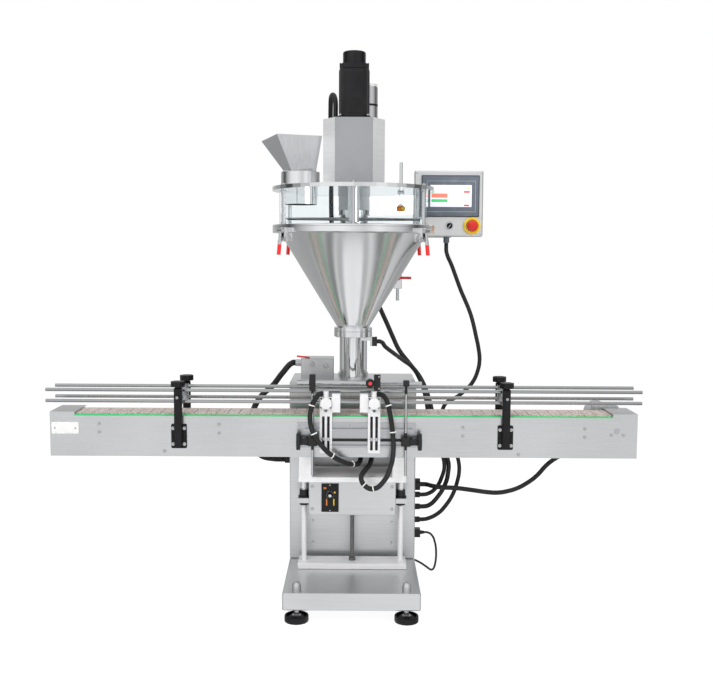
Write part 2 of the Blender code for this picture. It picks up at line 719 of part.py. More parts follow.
name_part(cabinet, "cabinet", BRUSHED_STEEL)

# Lift housing with the shaft bushings and the speed controller
shaft_y = behind(SHAFT_BEHIND)
shaft_x = (AUGER_X - SHAFT_SPACING / 2, AUGER_X + SHAFT_SPACING / 2)
housing = box((housing_left, behind(HOUSING_AHEAD), HOUSING_LOW),
              (housing_right, cabinet_front - GAP, HOUSING_TOP), PLATE_EDGE)
bush_plate = box((shaft_x[0] - BUSH_FLANGE, behind(HOUSING_AHEAD) + OVERRUN, BUSH_PLATE_LOW),
                 (shaft_x[1] + BUSH_FLANGE, cabinet_front - GAP, BUSH_PLATE_LOW + BUSH_PLATE_THICK))
bushes = []
for x in shaft_x:
    bushes.append(drum((x, shaft_y, (BUSH_LOW + BUSH_TOP) / 2), BUSH_RADIUS, BUSH_TOP - BUSH_LOW))
    flange_height = BUSH_PLATE_LOW + BUSH_PLATE_THICK + BUSH_FLANGE_THICK / 2
    bushes.append(drum((x, shaft_y, flange_height), BUSH_FLANGE, BUSH_FLANGE_THICK + GAP))
controller_left = AUGER_X + CONTROLLER_OFFSET - CONTROLLER_WIDTH / 2
controller_front = behind(HOUSING_AHEAD) - CONTROLLER_THICK
controller = box((controller_left, controller_front, CONTROLLER_LOW),
                 (controller_left + CONTROLLER_WIDTH, behind(HOUSING_AHEAD) + OVERRUN,
                  CONTROLLER_LOW + CONTROLLER_HEIGHT))
unite(housing, bush_plate, *bushes, controller)
shaft_bores = [drum((x, shaft_y, (BUSH_LOW + BUSH_TOP) / 2), SHAFT_RADIUS + RUNNING_GAP,
                    BUSH_TOP - BUSH_LOW + 2 * OVERRUN) for x in shaft_x]
screw_bore_top = SCREW_TOP + LIFT_TRAVEL + OVERRUN
screw_bore = turning_bore((AUGER_X, shaft_y, (screw_bore_top + HOUSING_LOW - OVERRUN) / 2), SCREW_RADIUS,
                          screw_bore_top - HOUSING_LOW + OVERRUN)
dial_x = AUGER_X + CONTROLLER_OFFSET
dial_bore_depth = DIAL_STEM_DEPTH + GAP
dial_bore = turning_bore((dial_x, controller_front + dial_bore_depth / 2 - OVERRUN / 2, DIAL_HEIGHT),
                         DIAL_STEM_RADIUS, dial_bore_depth + OVERRUN, "Y", 16)
cut(housing, *shaft_bores, screw_bore, dial_bore)
name_part(housing, "lift_housing", BRUSHED_STEEL)

dial_front = controller_front - GAP - DIAL_DEPTH
dial_profile = ((0, DIAL_DEPTH), (DIAL_RADIUS * 0.85, DIAL_DEPTH), (DIAL_RADIUS, 0),
                (DIAL_STEM_RADIUS, 0), (DIAL_STEM_RADIUS, -DIAL_STEM_DEPTH), (0, -DIAL_STEM_DEPTH))
dial = turned(dial_profile, (dial_x, controller_front - GAP, DIAL_HEIGHT), 16, "Y")
name_part(dial, "speed_dial", BLACK_PLASTIC)

# Lift carriage: lower plate, guide shafts, upper plate and conveyor saddles
lower_plate_low = BASE_TOP + GAP
lower_plate_top = lower_plate_low + LOWER_PLATE_THICK
upper_plate_top = UPPER_PLATE_LOW + UPPER_PLATE_THICK
carriage = box((AUGER_X - LOWER_PLATE_WIDTH / 2, shaft_y - LOWER_PLATE_DEPTH / 2, lower_plate_low),
               (AUGER_X + LOWER_PLATE_WIDTH / 2, shaft_y + LOWER_PLATE_DEPTH / 2, lower_plate_top),
               PLATE_EDGE)
upper_plate = box((AUGER_X - UPPER_PLATE_WIDTH / 2, behind(-UPPER_PLATE_AHEAD), UPPER_PLATE_LOW),
                  (AUGER_X + UPPER_PLATE_WIDTH / 2, behind(UPPER_PLATE_BEHIND), upper_plate_top),
                  PLATE_EDGE)
shafts = [drum((x, shaft_y, (lower_plate_top + UPPER_PLATE_LOW) / 2), SHAFT_RADIUS,
               UPPER_PLATE_LOW - lower_plate_top + 2 * OVERRUN) for x in shaft_x]
saddles = [box((x - SADDLE_WIDTH / 2, behind(-CONVEYOR_HALF_WIDTH), upper_plate_top - OVERRUN),
               (x + SADDLE_WIDTH / 2, behind(CONVEYOR_HALF_WIDTH), SIDE_LOW - GAP))
           for x in (AUGER_X - SADDLE_OFFSET, AUGER_X + SADDLE_OFFSET)]
unite(carriage, upper_plate, *shafts, *saddles)
screw_seat = lower_plate_top - LOWER_PLATE_THICK * 0.7
cut(carriage, turning_bore((AUGER_X, shaft_y, (screw_seat + lower_plate_top + OVERRUN) / 2), SCREW_RADIUS,
                           lower_plate_top + OVERRUN - screw_seat))
name_part(carriage, "lift_carriage", WHITE_ALUMINIUM)

screw_profile = ((0, SCREW_TOP), (SCREW_RADIUS, SCREW_TOP),
                 (SCREW_RADIUS, lower_plate_top + GAP + SCREW_COLLAR_HEIGHT),
                 (SCREW_COLLAR_RADIUS, lower_plate_top + GAP + SCREW_COLLAR_HEIGHT),
                 (SCREW_COLLAR_RADIUS, lower_plate_top + GAP), (SCREW_RADIUS, lower_plate_top + GAP),
                 (SCREW_RADIUS, screw_seat + GAP), (0, screw_seat + GAP))
lead_screw = turned(screw_profile, (AUGER_X, shaft_y, 0), 20)
name_part(lead_screw, "lead_screw", POLISHED_STEEL)

# Conveyor sides, spacers and end covers
half_length = CONVEYOR_LENGTH / 2
side_front = behind(-CONVEYOR_HALF_WIDTH)
side_rear = behind(CONVEYOR_HALF_WIDTH)
axle_x = half_length - SPROCKET_INSET
front_plate = box((-half_length, side_front, SIDE_LOW), (half_length, side_front + SIDE_THICK, SIDE_TOP))
for side in (-1, 1):
    outer = side * half_length
    inner = side * (half_length - COVER_LENGTH)
    low_x, high_x = min(outer, inner), max(outer, inner)
    unite(front_plate,
          box((low_x, side_front, SIDE_TOP - OVERRUN), (high_x, side_front + SIDE_THICK, COVER_LOW + GAP)),
          box((low_x, side_front, COVER_LOW), (high_x, side_rear, COVER_LOW + COVER_THICK)))
strip_half_length = half_length - COVER_LENGTH - GAP
unite(front_plate, box((-strip_half_length, side_front, SIDE_TOP - STRIP_SEAT),
                       (strip_half_length, side_front + STRIP_WIDTH, SIDE_TOP + STRIP_HEIGHT)))
axle_bores = [turning_bore((x, side_front + SIDE_THICK / 2, SPROCKET_AXLE_HEIGHT), AXLE_RADIUS,
                           SIDE_THICK + 2 * OVERRUN, "Y") for x in (-axle_x, axle_x)]
cut(front_plate, *axle_bores)
name_part(front_plate, "conveyor_front_plate", BRUSHED_STEEL)

rear_plate = box((-half_length, side_rear - SIDE_THICK, SIDE_LOW), (half_length, side_rear, SIDE_TOP))
spacer_pitch = (CONVEYOR_LENGTH - 4 * SPROCKET_INSET) / (SPACER_COUNT - 1)
spacer_front = side_front + SIDE_THICK + GAP
spacer_rear = side_rear - SIDE_THICK / 2
spacers = [drum((i * spacer_pitch - half_length + 2 * SPROCKET_INSET, (spacer_front + spacer_rear) / 2,
                 SPACER_HEIGHT), SPACER_RADIUS, spacer_rear - spacer_front, "Y", 12)
           for i in range(SPACER_COUNT)]
strip = box((-strip_half_length, side_rear - STRIP_WIDTH, SIDE_TOP - STRIP_SEAT),
            (strip_half_length, side_rear, SIDE_TOP + STRIP_HEIGHT))
junction = box((JUNCTION_X - JUNCTION_LENGTH / 2, AUGER_Y - JUNCTION_AHEAD, SIDE_LOW + SIDE_THICK),
               (JUNCTION_X + JUNCTION_LENGTH / 2, side_rear - SIDE_THICK / 2, SIDE_LOW + JUNCTION_HEIGHT))
unite(rear_plate, strip, junction, *spacers)
cut(rear_plate, *(turning_bore((x, side_rear - SIDE_THICK / 2, SPROCKET_AXLE_HEIGHT), AXLE_RADIUS,
                               SIDE_THICK + 2 * OVERRUN, "Y") for x in (-axle_x, axle_x)))
name_part(rear_plate, "conveyor_rear_plate", BRUSHED_STEEL)

# Slat chain: one closed loop, grooved where its slats meet
chain_radius = BELT_TOP - SPROCKET_AXLE_HEIGHT
chain_straight = 2 * axle_x
chain_length = 2 * chain_straight + 2 * math.pi * chain_radius


def on_loop(distance, radius):
    """Point on the chain's loop, a distance along it from the left end of the top run."""
    arc = math.pi * chain_radius
    distance %= chain_length
    if distance < chain_straight:
        return -axle_x + distance, SPROCKET_AXLE_HEIGHT + radius
    distance -= chain_straight
    if distance < arc:
        angle = math.pi / 2 - distance / chain_radius
        return axle_x + radius * math.cos(angle), SPROCKET_AXLE_HEIGHT + radius * math.sin(angle)
    distance -= arc
    if distance < chain_straight:
        return axle_x - distance, SPROCKET_AXLE_HEIGHT - radius
    angle = -math.pi / 2 - (distance - chain_straight) / chain_radius
    return -axle_x + radius * math.cos(angle), SPROCKET_AXLE_HEIGHT + radius * math.sin(angle)


slat_count = round(chain_length / SLAT_PITCH)
slat_step = chain_length / slat_count
outer_loop = []
for slat in range(slat_count):
    start = slat * slat_step
    for offset, radius in ((0, chain_radius), (slat_step - SLAT_GROOVE, chain_radius),
                           (slat_step - SLAT_GROOVE, chain_radius - SLAT_GROOVE_DEPTH),
                           (slat_step, chain_radius - SLAT_GROOVE_DEPTH)):
        outer_loop.append(on_loop(start + offset * 0.9999, radius))
inner_radius = chain_radius - SLAT_THICK
inner_loop = []
for side in (1, -1):
    for step in range(INNER_STEPS + 1):
        angle = side * math.pi / 2 - math.pi * step / INNER_STEPS
        inner_loop.append((side * axle_x + inner_radius * math.cos(angle),
                           SPROCKET_AXLE_HEIGHT + inner_radius * math.sin(angle)))
chain = slab((outer_loop, inner_loop), (0, AUGER_Y, 0), 2 * BELT_HALF_WIDTH, "Y")
name_part(chain, "slat_chain", BELT_PLASTIC)

# Sprockets on their axles
sprocket_radius = inner_radius * math.cos(math.pi / 2 / INNER_STEPS) - GAP


def sprocket(name, x, rear):
    """A toothed wheel on an axle that runs from the front plate to rear."""
    outline = []
    for tooth in range(SPROCKET_TEETH):
        for share, radius in ((0.0, sprocket_radius - SPROCKET_TOOTH), (0.2, sprocket_radius),
                              (0.5, sprocket_radius), (0.7, sprocket_radius - SPROCKET_TOOTH)):
            angle = 2 * math.pi * (tooth + share) / SPROCKET_TEETH
            outline.append((radius * math.cos(angle), radius * math.sin(angle)))
    wheel = slab((outline,), (x, AUGER_Y, SPROCKET_AXLE_HEIGHT), SPROCKET_WIDTH, "Y")
    axle = drum((x, (side_front + rear) / 2, SPROCKET_AXLE_HEIGHT), AXLE_RADIUS, rear - side_front, "Y")
    unite(wheel, axle)
    return name_part(wheel, name, GREY_PAINT)


gearbox_front = side_rear + GAP
sprocket("idler_sprocket", -axle_x, side_rear)
sprocket("drive_sprocket", axle_x, gearbox_front + GEARBOX_DEPTH / 2)

# Conveyor gearmotor behind the right end
gearbox_height = SPROCKET_AXLE_HEIGHT + GEAR_OFFSET
gearbox = box((axle_x - GEARBOX_SIDE / 2, gearbox_front, gearbox_height - GEARBOX_SIDE / 2),
              (axle_x + GEARBOX_SIDE / 2, gearbox_front + GEARBOX_DEPTH, gearbox_height + GEARBOX_SIDE / 2),
              BASE_EDGE)
motor_rear = gearbox_front + GEARBOX_DEPTH + MOTOR_LENGTH
unite(gearbox, drum((axle_x, motor_rear - MOTOR_LENGTH / 2 - OVERRUN / 2, gearbox_height), MOTOR_RADIUS,
                    MOTOR_LENGTH + OVERRUN, "Y", 24))
axle_bore_depth = GEARBOX_DEPTH / 2 + GAP
cut(gearbox, turning_bore((axle_x, gearbox_front + axle_bore_depth / 2 - OVERRUN / 2, SPROCKET_AXLE_HEIGHT),
                          AXLE_RADIUS, axle_bore_depth + OVERRUN, "Y"))
name_part(gearbox, "conveyor_gearmotor", GREY_PAINT)

# Guide rails: each pair of rods with its clamp heads and adjusting pins
pin_height = sum(RAIL_LEVELS) / 2
for name, side in (("front_rails", -1), ("rear_rails", 1)):
    rail_y = AUGER_Y + side * RAIL_OFFSET
    rods = [drum((0, rail_y, level), RAIL_RADIUS, RAIL_LENGTH, "X", 12) for level in RAIL_LEVELS]
    half_width, half_thick = RAIL_HEAD_WIDTH / 2, RAIL_HEAD_THICK / 2
    heads = [box((x - half_width, rail_y - half_thick, RAIL_LEVELS[0] - half_thick),
                 (x + half_width, rail_y + half_thick, RAIL_LEVELS[1] + half_thick)) for x in BRACKET_X]
    pins = [drum((x, AUGER_Y + side * (RAIL_OFFSET + RAIL_PIN_END) / 2, pin_height), RAIL_PIN_RADIUS,
                 RAIL_PIN_END - RAIL_OFFSET, "Y", 12) for x in BRACKET_X]
    name_part(unite(rods[0], *heads, rods[1], *pins), name, POLISHED_STEEL)

# Rail brackets on the conveyor's sides, each with its clamp knob
lobe_points = [(angle, KNOB_RADIUS - KNOB_LOBE * (1 - math.cos(KNOB_LOBES * angle)) / 2)
               for angle in (2 * math.pi * i / (4 * KNOB_LOBES) for i in range(4 * KNOB_LOBES))]
knob_outline = [(radius * math.cos(angle), radius * math.sin(angle)) for angle, radius in lobe_points]
sides = (("front", -1), ("rear", 1))
ends = (("left", BRACKET_X[0]), ("right", BRACKET_X[1]))


def span(side, inner, outer):
    """World Y range of a stretch measured outwards from the auger's plane."""
    return sorted((AUGER_Y + side * inner, AUGER_Y + side * outer))


for side_name, side in sides:
    for end_name, x in ends:
        foot_y = span(side, CONVEYOR_HALF_WIDTH + GAP, CONVEYOR_HALF_WIDTH + BRACKET_FOOT_THICK)
        column_y = span(side, CONVEYOR_HALF_WIDTH + BRACKET_EDGE, BRACKET_OUTER)
        column_middle = sum(column_y) / 2
        bracket = box((x - BRACKET_FOOT_WIDTH / 2, foot_y[0], BRACKET_FOOT_LOW),
                      (x + BRACKET_FOOT_WIDTH / 2, foot_y[1], BRACKET_FOOT_TOP), BRACKET_EDGE)
        column = box((x - BRACKET_WIDTH / 2, column_y[0], BRACKET_FOOT_LOW + BRACKET_EDGE),
                     (x + BRACKET_WIDTH / 2, column_y[1], BRACKET_TOP), BRACKET_EDGE)
        unite(bracket, column)
        stem_depth = KNOB_STEM_DEPTH + GAP
        cut(bracket,
            drum((x, column_middle, pin_height), RAIL_PIN_RADIUS + RUNNING_GAP,
                 BRACKET_OUTER - CONVEYOR_HALF_WIDTH + 2 * OVERRUN, "Y", 12),
            turning_bore((x, column_middle, BRACKET_TOP - stem_depth / 2 + OVERRUN / 2),
                         KNOB_STEM_RADIUS, stem_depth + OVERRUN, "Z", 12))
        name_part(bracket, f"rail_bracket_{side_name}_{end_name}", BLACK_PLASTIC)
        knob_low = BRACKET_TOP + GAP + KNOB_COLLAR_HEIGHT
        knob = slab((knob_outline,), (x, column_middle, knob_low + KNOB_HEIGHT / 2), KNOB_HEIGHT)
        collar = drum((x, column_middle, knob_low - (KNOB_COLLAR_HEIGHT - GAP) / 2), KNOB_COLLAR_RADIUS,
                      KNOB_COLLAR_HEIGHT + GAP, "Z", 12)
        stem = drum((x, column_middle, knob_low - KNOB_COLLAR_HEIGHT - (KNOB_STEM_DEPTH - GAP) / 2),
                    KNOB_STEM_RADIUS, KNOB_STEM_DEPTH + GAP, "Z", 12)
        name_part(unite(knob, collar, stem), f"rail_knob_{side_name}_{end_name}", BLACK_PLASTIC)

# Mounting plate for the container stops, on the conveyor's front
mount_back = side_front - GAP
mount_front = mount_back - MOUNT_PLATE_THICK
gate_plate_back = behind(GATE_PLATE_THICK - GATE_PLATE_AHEAD)
mount = box((MOUNT_PLATE_X[0], mount_front, MOUNT_PLATE_LOW),
            (MOUNT_PLATE_X[1], mount_back, MOUNT_PLATE_TOP))
ledges = [box((CROSS_ROD_X[0] + ROD_HOLDER_WIDTH, gate_plate_back + GAP, height),
              (CROSS_ROD_X[1] - ROD_HOLDER_WIDTH, mount_front + GAP, height + MOUNT_LEDGE_THICK))
          for height in MOUNT_LEDGE_HEIGHTS]
cross_rod_y = behind(-CROSS_ROD_AHEAD)
cross_rod = drum((sum(CROSS_ROD_X) / 2, cross_rod_y, CROSS_ROD_HEIGHT), CROSS_ROD_RADIUS,
                 CROSS_ROD_X[1] - CROSS_ROD_X[0], "X", 12)
holders = [box((x, cross_rod_y - CROSS_ROD_RADIUS * 1.2, CROSS_ROD_HEIGHT - ROD_HOLDER_WIDTH / 2),
               (x + ROD_HOLDER_WIDTH, mount_front + GAP, CROSS_ROD_HEIGHT + ROD_HOLDER_WIDTH / 2))
           for x in (CROSS_ROD_X[0], CROSS_ROD_X[1] - ROD_HOLDER_WIDTH)]
name_part(unite(mount, *ledges, cross_rod, *holders), "stop_mount_plate", GREY_PAINT)

# Container stops: slotted plate, round cylinder and square pin block
for name, x, inboard in (("left", GATE_X[0], 1), ("right", GATE_X[1], -1)):
    plate = box((x - GATE_PLATE_WIDTH / 2, behind(-GATE_PLATE_AHEAD), GATE_PLATE_LOW),
                (x + GATE_PLATE_WIDTH / 2, gate_plate_back, GATE_PLATE_TOP))
    cylinder = drum((x, behind(-(GATE_CYLINDER_AHEAD + GATE_BACK) / 2), GATE_CYLINDER_HEIGHT),
                    GATE_CYLINDER_RADIUS, GATE_CYLINDER_AHEAD - GATE_BACK, "Y", 24)
    block_x = x + inboard * (GATE_PLATE_WIDTH + GATE_BLOCK_WIDTH) / 2
    block = box((block_x - GATE_BLOCK_WIDTH / 2 - GAP, behind(-GATE_BLOCK_AHEAD), GATE_BLOCK_LOW),
                (block_x + GATE_BLOCK_WIDTH / 2 + GAP, behind(-GATE_BACK), GATE_BLOCK_TOP))
    fitting = drum((x, behind(-GATE_FITTING_AHEAD), (GATE_CYLINDER_HEIGHT + GATE_FITTING_TOP) / 2),
                   GATE_FITTING_RADIUS, GATE_FITTING_TOP - GATE_CYLINDER_HEIGHT, "Z", 12)
    unite(plate, cylinder, block, fitting)
    slots = [box((slot_x - GATE_SLOT_WIDTH / 2, behind(-GATE_PLATE_AHEAD) - OVERRUN, GATE_SLOT_LOW),
                 (slot_x + GATE_SLOT_WIDTH / 2, gate_plate_back + OVERRUN, GATE_SLOT_TOP))
             for slot_x in (x - GATE_SLOT_SPACING / 2, x + GATE_SLOT_SPACING / 2)]
    pin_back = behind(-GATE_PIN_TIP)
    pin_front = pin_back - GATE_PIN_LENGTH
    bore = drum((block_x, (pin_front - GAP + behind(-GATE_BACK) + OVERRUN) / 2, GATE_PIN_HEIGHT),
                GATE_PIN_RADIUS + RUNNING_GAP, behind(-GATE_BACK) + OVERRUN - pin_front + GAP, "Y", 12)
    cut(plate, *slots, bore)
    name_part(plate, f"stop_unit_{name}", WHITE_ALUMINIUM)
    pin = drum((block_x, (pin_front + pin_back) / 2, GATE_PIN_HEIGHT), GATE_PIN_RADIUS,
               GATE_PIN_LENGTH, "Y", 12)
    name_part(pin, f"stop_pin_{name}", POLISHED_STEEL)

# Sensor stands: rod, cross clamp with its knob, and what each rod holds
rod_y = behind(-SENSOR_ROD_AHEAD)


def sensor_stand(x, top, outward):
    """The upright rod with its cross clamp and knob at the cross rod's level."""
    upright = drum((x, rod_y, (SENSOR_ROD_LOW + top) / 2), SENSOR_ROD_RADIUS, top - SENSOR_ROD_LOW,
                   "Z", 12)
    half = CROSS_CLAMP_SIZE / 2
    clamp = box((x - half, behind(-CROSS_CLAMP_AHEAD), CROSS_ROD_HEIGHT - half),
                (x + half, behind(-CROSS_CLAMP_BACK), CROSS_ROD_HEIGHT + half), PLATE_EDGE)
    neck_x = x + outward * (half + CROSS_KNOB_NECK / 2)
    knob_x = x + outward * (half + CROSS_KNOB_NECK + CROSS_KNOB_LENGTH / 2 - GAP)
    neck = drum((neck_x, behind(-CROSS_KNOB_AHEAD), CROSS_ROD_HEIGHT), CROSS_KNOB_NECK_RADIUS,
                CROSS_KNOB_NECK + 2 * GAP, "X", 12)
    knob = drum((knob_x, behind(-CROSS_KNOB_AHEAD), CROSS_ROD_HEIGHT), CROSS_KNOB_RADIUS,
                CROSS_KNOB_LENGTH, "X", 20)
    unite(clamp, upright, neck, knob)
    rod_hole = drum((x, cross_rod_y, CROSS_ROD_HEIGHT), CROSS_ROD_RADIUS + GAP,
                    CROSS_CLAMP_SIZE + 2 * OVERRUN, "X", 12)
    return cut(clamp, rod_hole)


left_x, right_x = SENSOR_ROD_X
stand = sensor_stand(left_x, SENSOR_ROD_TOP[0], -1)
head_size = Vector(SENSOR_HEAD)
head_middle = Vector((left_x, rod_y, SENSOR_BAR_HEIGHT))
bar = drum(((left_x + SENSOR_BAR_END) / 2, rod_y, SENSOR_BAR_HEIGHT), SENSOR_BAR_RADIUS,
           SENSOR_BAR_END - left_x, "X", 12)
barrel = drum((left_x - SENSOR_BAR_REACH / 2, rod_y, SENSOR_BAR_HEIGHT), SENSOR_BARREL_RADIUS,
              SENSOR_BAR_REACH, "X", 12)
plate_size = Vector(SENSOR_PLATE)
plate_middle = Vector((SENSOR_BAR_END, rod_y, SENSOR_BAR_HEIGHT))
eye = drum((SENSOR_EYE_X, rod_y - SENSOR_EYE_RADIUS, SENSOR_BAR_HEIGHT), SENSOR_EYE_RADIUS,
           2 * SENSOR_EYE_RADIUS, "Y", 16)
unite(stand, box(head_middle - head_size / 2, head_middle + head_size / 2, PLATE_EDGE), bar, barrel,
      box(plate_middle - plate_size / 2, plate_middle + plate_size / 2), eye)
name_part(stand, "sensor_stand_left", POLISHED_STEEL)
stand = sensor_stand(right_x, SENSOR_ROD_TOP[1], 1)
cap_low = SENSOR_ROD_TOP[1] - SENSOR_CAP / 2
unite(stand, box((right_x - SENSOR_CAP / 2, rod_y - SENSOR_CAP / 2, cap_low),
                 (right_x + SENSOR_CAP / 2, rod_y + SENSOR_CAP / 2, cap_low + SENSOR_CAP), PLATE_EDGE),
      drum((right_x + SENSOR_BAR_REACH / 2, rod_y, cap_low + SENSOR_CAP / 2), SENSOR_BAR_RADIUS,
           SENSOR_BAR_REACH, "X", 12))
name_part(stand, "sensor_stand_right", POLISHED_STEEL)

# Head column with its stop collar, panel arm and side rod
post_y = behind(POST_BEHIND)
stop_top = SLEEVE_LOW - GAP
arm_low = ARM_HEIGHT - ARM_COLLAR_HEIGHT / 2
arm_top = ARM_HEIGHT + ARM_COLLAR_HEIGHT / 2
post_low = CABINET_TOP + GAP
post_profile = ((0, POST_TOP), (POST_RADIUS, POST_TOP), (POST_RADIUS, stop_top),
                (STOP_COLLAR_RADIUS, stop_top), (STOP_COLLAR_RADIUS, stop_top - STOP_COLLAR_HEIGHT),
                (POST_RADIUS, stop_top - STOP_COLLAR_HEIGHT), (POST_RADIUS, arm_top),
                (STOP_COLLAR_RADIUS, arm_top), (STOP_COLLAR_RADIUS, arm_low), (POST_RADIUS, arm_low),
                (POST_RADIUS, post_low + POST_FLANGE_THICK),
                (POST_FLANGE_RADIUS, post_low + POST_FLANGE_THICK), (POST_FLANGE_RADIUS, post_low),
                (0, post_low))
post = turned(post_profile, (AUGER_X, post_y, 0), 32)
arm_y = behind(ARM_BEHIND)
eye_low = ARM_HEIGHT + ARM_RADIUS + GAP
pivot_top = eye_low + PIVOT_EYE_HEIGHT + GAP + OVERRUN
lock_block = Vector(LOCK_BLOCK)
lock_middle = Vector((LOCK_X, post_y, LOCK_HEIGHT))
unite(post,
      drum(((AUGER_X + PANEL_X) / 2, arm_y, ARM_HEIGHT), ARM_RADIUS, PANEL_X - AUGER_X + 2 * ARM_RADIUS,
           "X", 16),
      drum((PANEL_X, (arm_y + post_y) / 2, ARM_HEIGHT), ARM_RADIUS * 0.9, arm_y - post_y, "Y", 16),
      drum((PANEL_X, post_y, ARM_HEIGHT), PIVOT_EYE_RADIUS, 2 * ARM_RADIUS, "Z", 20),
      drum((PANEL_X, post_y, (ARM_HEIGHT + pivot_top) / 2), PIVOT_RADIUS, pivot_top - ARM_HEIGHT, "Z", 24),
      drum(((AUGER_X + LOCK_X) / 2, post_y, LOCK_HEIGHT), LOCK_BAR_RADIUS, LOCK_X - AUGER_X, "X", 12),
      box(lock_middle - lock_block / 2, lock_middle + lock_block / 2, PLATE_EDGE),
      drum((LOCK_X, post_y, (LOCK_ROD_LOW + LOCK_HEIGHT) / 2), LOCK_ROD_RADIUS, LOCK_HEIGHT - LOCK_ROD_LOW,
           "Z", 12))
lever_bore_front = post_y - LOCK_BLOCK[1] / 2
lock_stem_depth = LOCK_BLOCK[1] / 2
lever_height = LOCK_HEIGHT + LOCK_BLOCK[2] / 4
cut(post, turning_bore((LOCK_X, lever_bore_front + lock_stem_depth / 2 - OVERRUN / 2, lever_height),
                       LOCK_LEVER_RADIUS, lock_stem_depth + OVERRUN, "Y", 16))
name_part(post, "head_column", POLISHED_STEEL)

hub_front = lever_bore_front - GAP - 3 * LOCK_LEVER_RADIUS
lever = drum((LOCK_X, (hub_front + lever_bore_front - GAP) / 2, lever_height), 2 * LOCK_LEVER_RADIUS,
             3 * LOCK_LEVER_RADIUS, "Y", 16)
unite(lever,
      drum((LOCK_X, (hub_front + lever_bore_front + lock_stem_depth - GAP) / 2, lever_height),
           LOCK_LEVER_RADIUS, lever_bore_front + lock_stem_depth - GAP - hub_front - OVERRUN, "Y", 16),
      drum((LOCK_X + LOCK_LEVER_LENGTH / 2, (hub_front + lever_bore_front) / 2, lever_height),
           LOCK_LEVER_RADIUS, LOCK_LEVER_LENGTH, "X", 12))
name_part(lever, "column_lock_lever", RED_PLASTIC)

# Head bracket: sleeve on the column and arm to the motor cover
auger_axis = (AUGER_X, AUGER_Y, 0)
sleeve_profile = ((SLEEVE_RADIUS, SLEEVE_TOP), (SLEEVE_RADIUS, SLEEVE_LOW),
                  (POST_RADIUS + RUNNING_GAP, SLEEVE_LOW), (POST_RADIUS + RUNNING_GAP, SLEEVE_TOP))
sleeve = turned(sleeve_profile, (AUGER_X, post_y, 0), 32, closed=True)
cover_back = behind(COVER_BOX_BEHIND)
arm_end = post_y - (SLEEVE_RADIUS + POST_RADIUS) / 2
unite(sleeve, box((AUGER_X - HEAD_ARM_WIDTH / 2, cover_back + GAP, LID_TOP + GAP),
                  (AUGER_X + HEAD_ARM_WIDTH / 2, arm_end, LID_TOP + HEAD_ARM_THICK)))
name_part(sleeve, "head_bracket", WHITE_ALUMINIUM)

# Lid with its level rod
lid = turned(((0, LID_TOP), (LID_RADIUS, LID_TOP), (LID_RADIUS, LID_LOW), (0, LID_LOW)), auger_axis, 48)
chute_x = CHUTE_X
chute_y = behind(CHUTE_BEHIND)
unite(lid, drum((LEVEL_ROD_X, AUGER_Y, (LEVEL_ROD_LOW + LEVEL_ROD_TOP) / 2), LEVEL_ROD_RADIUS,
                LEVEL_ROD_TOP - LEVEL_ROD_LOW, "Z", 12))
cut(lid, drum((AUGER_X, AUGER_Y, LID_LOW + LID_THICK / 2), AGITATOR_TUBE_RADIUS + GAP,
              LID_THICK + 2 * OVERRUN, "Z", 24),
    drum((chute_x, chute_y, LID_LOW + LID_THICK / 2), CHUTE_TUBE_RADIUS + GAP,
         LID_THICK + 2 * OVERRUN, "Z", 32))
name_part(lid, "lid_plate", POLISHED_STEEL)

# Clear window ring and its frame with the tie rods
ring_top = RING_LOW + RING_THICK
window_low, window_top = ring_top + GAP, LID_LOW - GAP
window_profile = ((WINDOW_RADIUS, window_top), (WINDOW_RADIUS, window_low),
                  (WINDOW_RADIUS - WINDOW_WALL, window_low), (WINDOW_RADIUS - WINDOW_WALL, window_top))
name_part(turned(window_profile, auger_axis, 48, closed=True), "hopper_window", ACRYLIC)
ring_profile = ((LID_RADIUS, ring_top), (LID_RADIUS, RING_LOW), (RING_INNER, RING_LOW),
                (RING_INNER, ring_top))
ring = turned(ring_profile, auger_axis, 48, closed=True)
tie_rods = []
for index in range(TIE_ROD_COUNT):
    angle = 2 * math.pi * (index + 0.5) / TIE_ROD_COUNT
    place = (AUGER_X + TIE_ROD_CIRCLE * math.cos(angle), AUGER_Y + TIE_ROD_CIRCLE * math.sin(angle),
             (ring_top - RING_THICK / 2 + window_top) / 2)
    tie_rods.append(drum(place, TIE_ROD_RADIUS, window_top - ring_top + RING_THICK / 2, "Z", 12))
name_part(unite(ring, *tie_rods), "window_frame", POLISHED_STEEL)

# Hopper cone with its rim, outlet ferrule and the bodies of the toggle clamps
rim_top = RING_LOW - GAP
ferrule_low = NECK_LOW + GAP
ferrule_top = ferrule_low + FERRULE_THICK
cone_profile = ((LID_RADIUS, rim_top), (LID_RADIUS, RIM_LOW), (CONE_TOP_RADIUS, RIM_LOW),
                (CONE_NECK_RADIUS, CONE_LOW), (CONE_NECK_RADIUS, ferrule_top), (FERRULE_RADIUS, ferrule_top),
                (FERRULE_RADIUS, ferrule_low), (CONE_NECK_RADIUS - CONE_WALL, ferrule_low),
                (CONE_NECK_RADIUS - CONE_WALL, CONE_LOW), (CONE_TOP_RADIUS - CONE_WALL, RIM_LOW),
                (CONE_TOP_RADIUS - CONE_WALL, rim_top))
cone = turned(cone_profile, auger_axis, 48, closed=True)
clamp_angles = {"front_left": math.pi * 1.5 - CLAMP_ANGLE, "front_right": math.pi * 1.5 + CLAMP_ANGLE,
                "rear_left": math.pi / 2 + CLAMP_ANGLE, "rear_right": math.pi / 2 - CLAMP_ANGLE}


def at_clamp(shape, angle):
    """Move a shape made at the hopper's +X side round the auger's axis to an angle."""
    shape.matrix_world = Matrix.Translation(auger_axis) @ Matrix.Rotation(angle, 4, "Z")
    return shape


